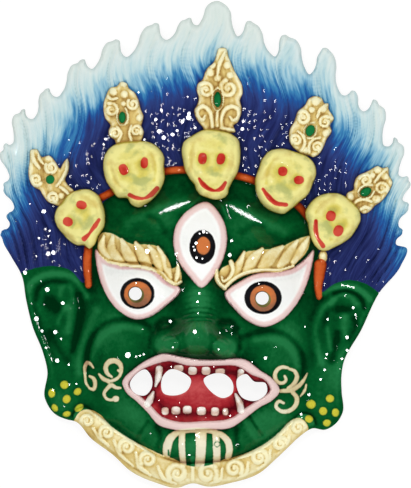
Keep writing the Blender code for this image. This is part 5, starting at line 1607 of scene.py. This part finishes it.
gloss = {
    "brushScale": 420.0,
    "cloudScale": 75.0,
    "deepAt": 0.12,  # tones at which an enamel shows its painted shade, its own colour and its painted highlight
    "ownAt": 0.47,
    "lightAt": 0.80,
    "mottle": (0.34, 0.30),  # how far the brush marks and the clouds of the paint shift a tone
    "roughness": 0.34,
    "coat": 0.35,
    "coatRoughness": 0.05,
    "coatIor": 1.45,
    "underGloss": 0.0,
    "wobble": 0.5,  # how far the edge of a paint wanders, in chart units
    # how far the creases and broad hollows shift the tone: painted shade in them, painted highlight on the
    # ridges
    "softCrease": 0.28,
    "deepCrease": 0.42,
    "softHollow": 0.22,
    "deepHollow": 0.06,
    "dropCells": 300.0,
    "dropScatter": 0.9,
    "fineGrainScale": 900.0,
    "roughnessSwing": 0.16,
    "bareRoughness": 0.4,  # how much rougher the bare resin is
    "dropSizes": (0.20, 0.15),  # reach of the smallest drop in its cell, and how much the largest adds
    "dropHeight": 0.00022,
    "mouthDrops": 2.4,
    "strayDrops": 0.014,
    "ringFrom": (0.05, 0.18),  # from the rim of a drop inwards: where its bright ring starts and ends
    "ringTo": (0.34, 0.50),
    "ringBreak": (-0.8, -0.2),
    "speckScale": 2600.0,
    "speckGain": 0.44,
    "speckLevel": 0.80,
    "grainHeight": 0.0004,
    "grainStrength": 0.16,
    "peelScale": 120.0,
    "peelHeight": 0.0004,
    "strandHeight": 0.0005,
    "dropFacing": (0.0, 0.047, 1.0),  # flattened drops all face a point above the forehead
    "dropLean": 0.45,
}


def layEnamels(tree, colour, mottle, crease, stray):
    # each enamel over the last, with painted shade in the creases and hollows and a painted highlight on the
    # ridges
    hollow = attribute(tree, "broadHollow")
    tones = {}
    for kind in ("soft", "deep"):
        tone = maths(tree, "MULTIPLY_ADD", crease, gloss[kind + "Crease"], mottle)
        tones[kind] = maths(tree, "MULTIPLY_ADD", hollow, gloss[kind + "Hollow"], tone)
    for name in paintNames:
        deep, own, light, soft = enamels[name]
        coverage = remap(tree, maths(tree, "ADD", attribute(tree, name), stray), -soft, soft)
        tone = tones["deep" if name in deepCreases else "soft"]
        shown = ramp(tree, tone, ((gloss["deepAt"], deep), (gloss["ownAt"], own), (gloss["lightAt"], light)))
        colour = blend(tree, coverage, colour, shown)
    return colour


bonePaint = {
    "smudgeScale": 130.0,
    "smudgeGain": 2.6,
    "greenish": (0.42, 0.46, 0.15),
    "greenishFrom": (0.0, 0.8),
    "greenishShare": 0.8,
    "ochre": (0.62, 0.45, 0.10),
    "ochreFrom": (-0.10, -0.9),
    "ochreShare": 0.6,
}


def tintBone(tree, colour, place):
    # greenish and ochre patches on the skulls, from noise and the laid-out patches, clear of the red
    gain = bonePaint["smudgeGain"]
    smudge = noise(tree, place, bonePaint["smudgeScale"], 4.0)
    patches = maths(tree, "MULTIPLY_ADD", smudge, gain, -gain / 2)
    tint = maths(tree, "ADD", attribute(tree, "skullTint"), patches)
    onBone = remap(tree, attribute(tree, "boneYellow"), 0.0, 1.0)
    onBone = maths(tree, "MULTIPLY", onBone, remap(tree, attribute(tree, "markRed"), -0.8, 0.2, 1.0, 0.0))
    greenish = remap(tree, tint, *bonePaint["greenishFrom"], 0.0, bonePaint["greenishShare"])
    greenish = maths(tree, "MULTIPLY", greenish, onBone)
    colour = blend(tree, greenish, colour, bonePaint["greenish"])
    ochre = remap(tree, tint, *bonePaint["ochreFrom"], 0.0, bonePaint["ochreShare"])
    ochre = maths(tree, "MULTIPLY", ochre, onBone)
    return blend(tree, ochre, colour, bonePaint["ochre"])


def clearOfCovers(tree):
    # 1 where no drops have to keep off: they stay off the gilding, bone, rose, teeth and band
    covered = attribute(tree, "goldPaint")
    for name in ("boneYellow", "lidRose", "toothWhite", "bandOrange"):
        covered = maths(tree, "MAXIMUM", covered, attribute(tree, name))
    return remap(tree, covered, -1.5, 0.0, 1.0, 0.0)


def wetShare(tree, hairTone, onHair):
    # share of the cells that hold a drop: many on the navy, some in the mouth, a few strays on the face
    dark = remap(tree, hairTone, 0.0, 0.9, 1.0, 0.0)
    inMouth = remap(tree, attribute(tree, "mouthCrimson"), 0.0, 1.5, 0.0, gloss["mouthDrops"])
    wet = maths(tree, "MAXIMUM", maths(tree, "MULTIPLY", dark, onHair), inMouth)
    share = maths(tree, "MULTIPLY", attribute(tree, "dropShare"), wet)
    stray = maths(tree, "MULTIPLY_ADD", onHair, -gloss["strayDrops"], gloss["strayDrops"])
    return maths(tree, "MAXIMUM", share, stray)


def dropField(tree, place, share):
    # small domes in scattered cells, and on each a bright ring that is broken on one side
    flat = addNode(tree, "ShaderNodeMapping", Vector=place, Scale=(1.0, 1.0, 0.0)).outputs[0]
    cells = addNode(tree, "ShaderNodeTexVoronoi", {"voronoi_dimensions": "2D"}, Vector=flat,
                    Scale=gloss["dropCells"], Randomness=gloss["dropScatter"])
    chance = addNode(tree, "ShaderNodeSeparateColor", Color=cells.outputs["Color"])
    chosen = maths(tree, "LESS_THAN", chance.outputs[0], share)
    least, more = gloss["dropSizes"]
    reach = maths(tree, "MULTIPLY_ADD", chance.outputs[1], more, least)
    nearness = maths(tree, "SUBTRACT", 1.0, maths(tree, "DIVIDE", cells.outputs["Distance"], reach))
    nearness = maths(tree, "MAXIMUM", nearness, 0.0)
    dome = maths(tree, "MULTIPLY", nearness, maths(tree, "SUBTRACT", 2.0, nearness))
    dome = maths(tree, "MULTIPLY", dome, chosen)
    ring = remap(tree, nearness, *gloss["ringFrom"])
    ring = maths(tree, "MULTIPLY", ring, remap(tree, nearness, *gloss["ringTo"], 1.0, 0.0))
    spoke = vectorMath(tree, "SUBTRACT", flat, cells.outputs["Position"]).outputs[0]
    spoke = vectorMath(tree, "NORMALIZE", spoke)
    side = vectorMath(tree, "SUBTRACT", cells.outputs["Color"], (0.5, 0.5, 0.5)).outputs[0]
    side = vectorMath(tree, "NORMALIZE", side)
    lit = vectorMath(tree, "DOT_PRODUCT", spoke.outputs[0], side.outputs[0]).outputs["Value"]
    ring = maths(tree, "MULTIPLY", ring, remap(tree, lit, *gloss["ringBreak"]))
    return dome, maths(tree, "MULTIPLY", ring, chosen)


def glintShare(tree, place, rings, uncovered):
    # how far the varnish turns to the light: the rings, the large drops and the streaks
    facing = maths(tree, "MAXIMUM", rings, remap(tree, attribute(tree, "flatDrop"), 0.0, 0.4))
    # the streaks are a fine grain of facing specks, thickest along their middle
    specks = noise(tree, place, gloss["speckScale"], 2.0, Roughness=0.7)
    level = maths(tree, "ADD", specks, -gloss["speckLevel"])
    glimmer = maths(tree, "MULTIPLY_ADD", attribute(tree, "sheen"), gloss["speckGain"], level)
    facing = maths(tree, "MAXIMUM", facing, remap(tree, glimmer, 0.0, 0.04))
    return maths(tree, "MULTIPLY", facing, remap(tree, uncovered, 0.0, 0.3, 1.0, 0.0))


def varnishNormal(tree, place, brush, streak, strandShare, dome, facing):
    grain = addNode(tree, "ShaderNodeBump", Strength=gloss["grainStrength"], Distance=gloss["grainHeight"],
                    Height=brush)
    peel = noise(tree, place, gloss["peelScale"], 1.0)
    puddles = addNode(tree, "ShaderNodeBump", Strength=1.0, Distance=gloss["peelHeight"], Height=peel,
                      Normal=grain.outputs[0])
    strands = addNode(tree, "ShaderNodeBump", Distance=gloss["strandHeight"], Height=streak,
                      Normal=puddles.outputs[0], Strength=strandShare)
    beads = addNode(tree, "ShaderNodeBump", Strength=1.0, Distance=gloss["dropHeight"], Height=dome,
                    Normal=strands.outputs[0])
    flash = addNode(tree, "ShaderNodeVectorMath", {"operation": "MULTIPLY_ADD"}, i0=place,
                    i1=(-gloss["dropLean"], -gloss["dropLean"], 0.0), i2=gloss["dropFacing"])
    lean = addNode(tree, "ShaderNodeMix", {"data_type": "VECTOR"})
    for socket, value in ((0, facing), (4, beads.outputs[0]), (5, flash.outputs[0])):
        tree.links.new(value, lean.inputs[socket])
    return vectorMath(tree, "NORMALIZE", lean.outputs[1]).outputs[0]


resin = ((0.3, (0.20, 0.18, 0.15)), (0.7, (0.34, 0.31, 0.27)))


def enamelMaterial():
    made = bpy.data.materials.new("glossEnamels")
    made.use_nodes = True
    tree = made.node_tree
    tree.nodes.clear()
    place = addNode(tree, "ShaderNodeTexCoord").outputs["Object"]
    brush = noise(tree, place, gloss["brushScale"], 3.0, Roughness=0.6)
    cloud = noise(tree, place, gloss["cloudScale"], 2.0, Roughness=0.5)
    crease = attribute(tree, "crease")
    brushed, clouded = gloss["mottle"]
    mottle = maths(tree, "ADD", maths(tree, "MULTIPLY_ADD", brush, brushed, -brushed / 2),
                   maths(tree, "MULTIPLY_ADD", cloud, clouded, 0.5 - clouded / 2))
    # the glazes add painted shade and painted light, with some of the paint's own tone, to the mottling
    mottle = maths(tree, "ADD", mottle, attribute(tree, "shadeAndToneGlaze"))
    stray = maths(tree, "MULTIPLY_ADD", brush, gloss["wobble"] * 2, -gloss["wobble"])

    colour, hairTone, streak = hairColour(tree, crease)
    colour = layEnamels(tree, colour, mottle, crease, stray)
    colour = tintBone(tree, colour, place)
    bareness = maths(tree, "MULTIPLY_ADD", stray, 0.25, attribute(tree, "bareResin"))
    uncovered = remap(tree, bareness, 0.35, 0.60)
    colour = blend(tree, uncovered, colour, ramp(tree, cloud, resin))

    onHair = remap(tree, attribute(tree, "faceGreen"), -1.0, 0.5, 1.0, 0.0)
    clear = clearOfCovers(tree)
    dropShare = maths(tree, "MULTIPLY", wetShare(tree, hairTone, onHair), clear)
    dome, rings = dropField(tree, place, dropShare)
    facing = glintShare(tree, place, rings, uncovered)
    strandShare = maths(tree, "MULTIPLY", onHair, maths(tree, "MULTIPLY", clear, 0.5))
    surface = varnishNormal(tree, place, brush, streak, strandShare, dome, facing)

    fineGrain = noise(tree, place, gloss["fineGrainScale"], 2.0)
    swing = gloss["roughnessSwing"]
    roughness = maths(tree, "MULTIPLY_ADD", fineGrain, swing, gloss["roughness"] - swing / 2)
    roughness = maths(tree, "MULTIPLY_ADD", uncovered, gloss["bareRoughness"], roughness)
    coat = remap(tree, uncovered, 0.0, 1.0, gloss["coat"], 0.0)
    shader = addNode(tree, "ShaderNodeBsdfPrincipled", **{
        "Base Color": colour, "Roughness": roughness, "Coat Roughness": gloss["coatRoughness"],
        "Coat IOR": gloss["coatIor"], "Specular IOR Level": gloss["underGloss"],
        "Normal": surface, "Coat Weight": coat, "Coat Normal": surface,
    })
    output = addNode(tree, "ShaderNodeOutputMaterial")
    tree.links.new(shader.outputs[0], output.inputs["Surface"])
    return made


piece = castMask()
piece.data.materials.append(enamelMaterial())
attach(piece, "root")
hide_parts("mask")
print("mask painted")

studio = {
    "floorSize": 6.0,  # half its side
    "floorBelow": 0.0002,
    "floorColour": (0.16, 0.16, 0.16),
    "floorGlow": 0.88,
    "worldStrength": 0.56,
    # lights: place, size, power and whether the gloss shows them
    "lights": (
        ((-0.55, 0.80, 1.10), 0.7, 3.4, False),
        ((0.80, 0.10, 1.00), 0.7, 2.0, False),
        ((0.0, 0.115, 1.25), 0.09, 2.7, True),
        ((0.0, -0.80, 0.95), 0.7, 2.2, False),
    ),
    "cameraHeight": 12.0,
    "photoMiddle": (205.5, 244.0),
    "photoHeight": 488.0,
}


def floorMaterial():
    made = bpy.data.materials.new("paleFloor")
    made.use_nodes = True
    tree = made.node_tree
    shader = tree.nodes["Principled BSDF"]
    shader.inputs["Base Color"].default_value = (*studio["floorColour"], 1.0)
    shader.inputs["Roughness"].default_value = 0.9
    shader.inputs["Specular IOR Level"].default_value = 0.0
    shader.inputs["Emission Color"].default_value = (1.0, 1.0, 1.0, 1.0)
    shader.inputs["Emission Strength"].default_value = studio["floorGlow"]
    return made


def setStudio():
    half = studio["floorSize"]
    mesh = bpy.data.meshes.new("studioFloor")
    corners = [(-half, -half, 0), (half, -half, 0), (half, half, 0), (-half, half, 0)]
    mesh.from_pydata(corners, [], [(0, 1, 2, 3)])
    floor = bpy.data.objects.new("studioFloor", mesh)
    floor.location.z = -studio["floorBelow"]
    floor.visible_glossy = False
    mesh.materials.append(floorMaterial())
    bpy.context.scene.collection.objects.link(floor)
    world = bpy.data.worlds.new("paleStudio")
    world.use_nodes = True
    background = world.node_tree.nodes["Background"]
    background.inputs["Color"].default_value = (1.0, 1.0, 1.0, 1.0)
    background.inputs["Strength"].default_value = studio["worldStrength"]
    world.cycles_visibility.glossy = False
    bpy.context.scene.world = world
    for number, (place, size, power, shown) in enumerate(studio["lights"]):
        data = bpy.data.lights.new(f"softbox{number}", "AREA")
        data.shape = "DISK"
        data.size = size
        data.energy = power
        lamp = bpy.data.objects.new(data.name, data)
        lamp.location = place
        lamp.visible_glossy = shown
        lamp.rotation_euler = Vector(place).to_track_quat("Z", "Y").to_euler()
        bpy.context.scene.collection.objects.link(lamp)
    camera = bpy.data.cameras.new("overhead")
    camera.sensor_width = 36.0
    camera.lens = 36.0 * studio["cameraHeight"] / (studio["photoHeight"] * unit)
    camera.clip_end = 50.0
    eye = bpy.data.objects.new("overhead", camera)
    midX, midY = studio["photoMiddle"]
    eye.location = ((midX - chartMiddle[0]) * unit, (chartMiddle[1] - midY) * unit, studio["cameraHeight"])
    bpy.context.scene.collection.objects.link(eye)
    bpy.context.scene.camera = eye
    bpy.context.scene.view_settings.view_transform = "Standard"


setStudio()
print("studio set")
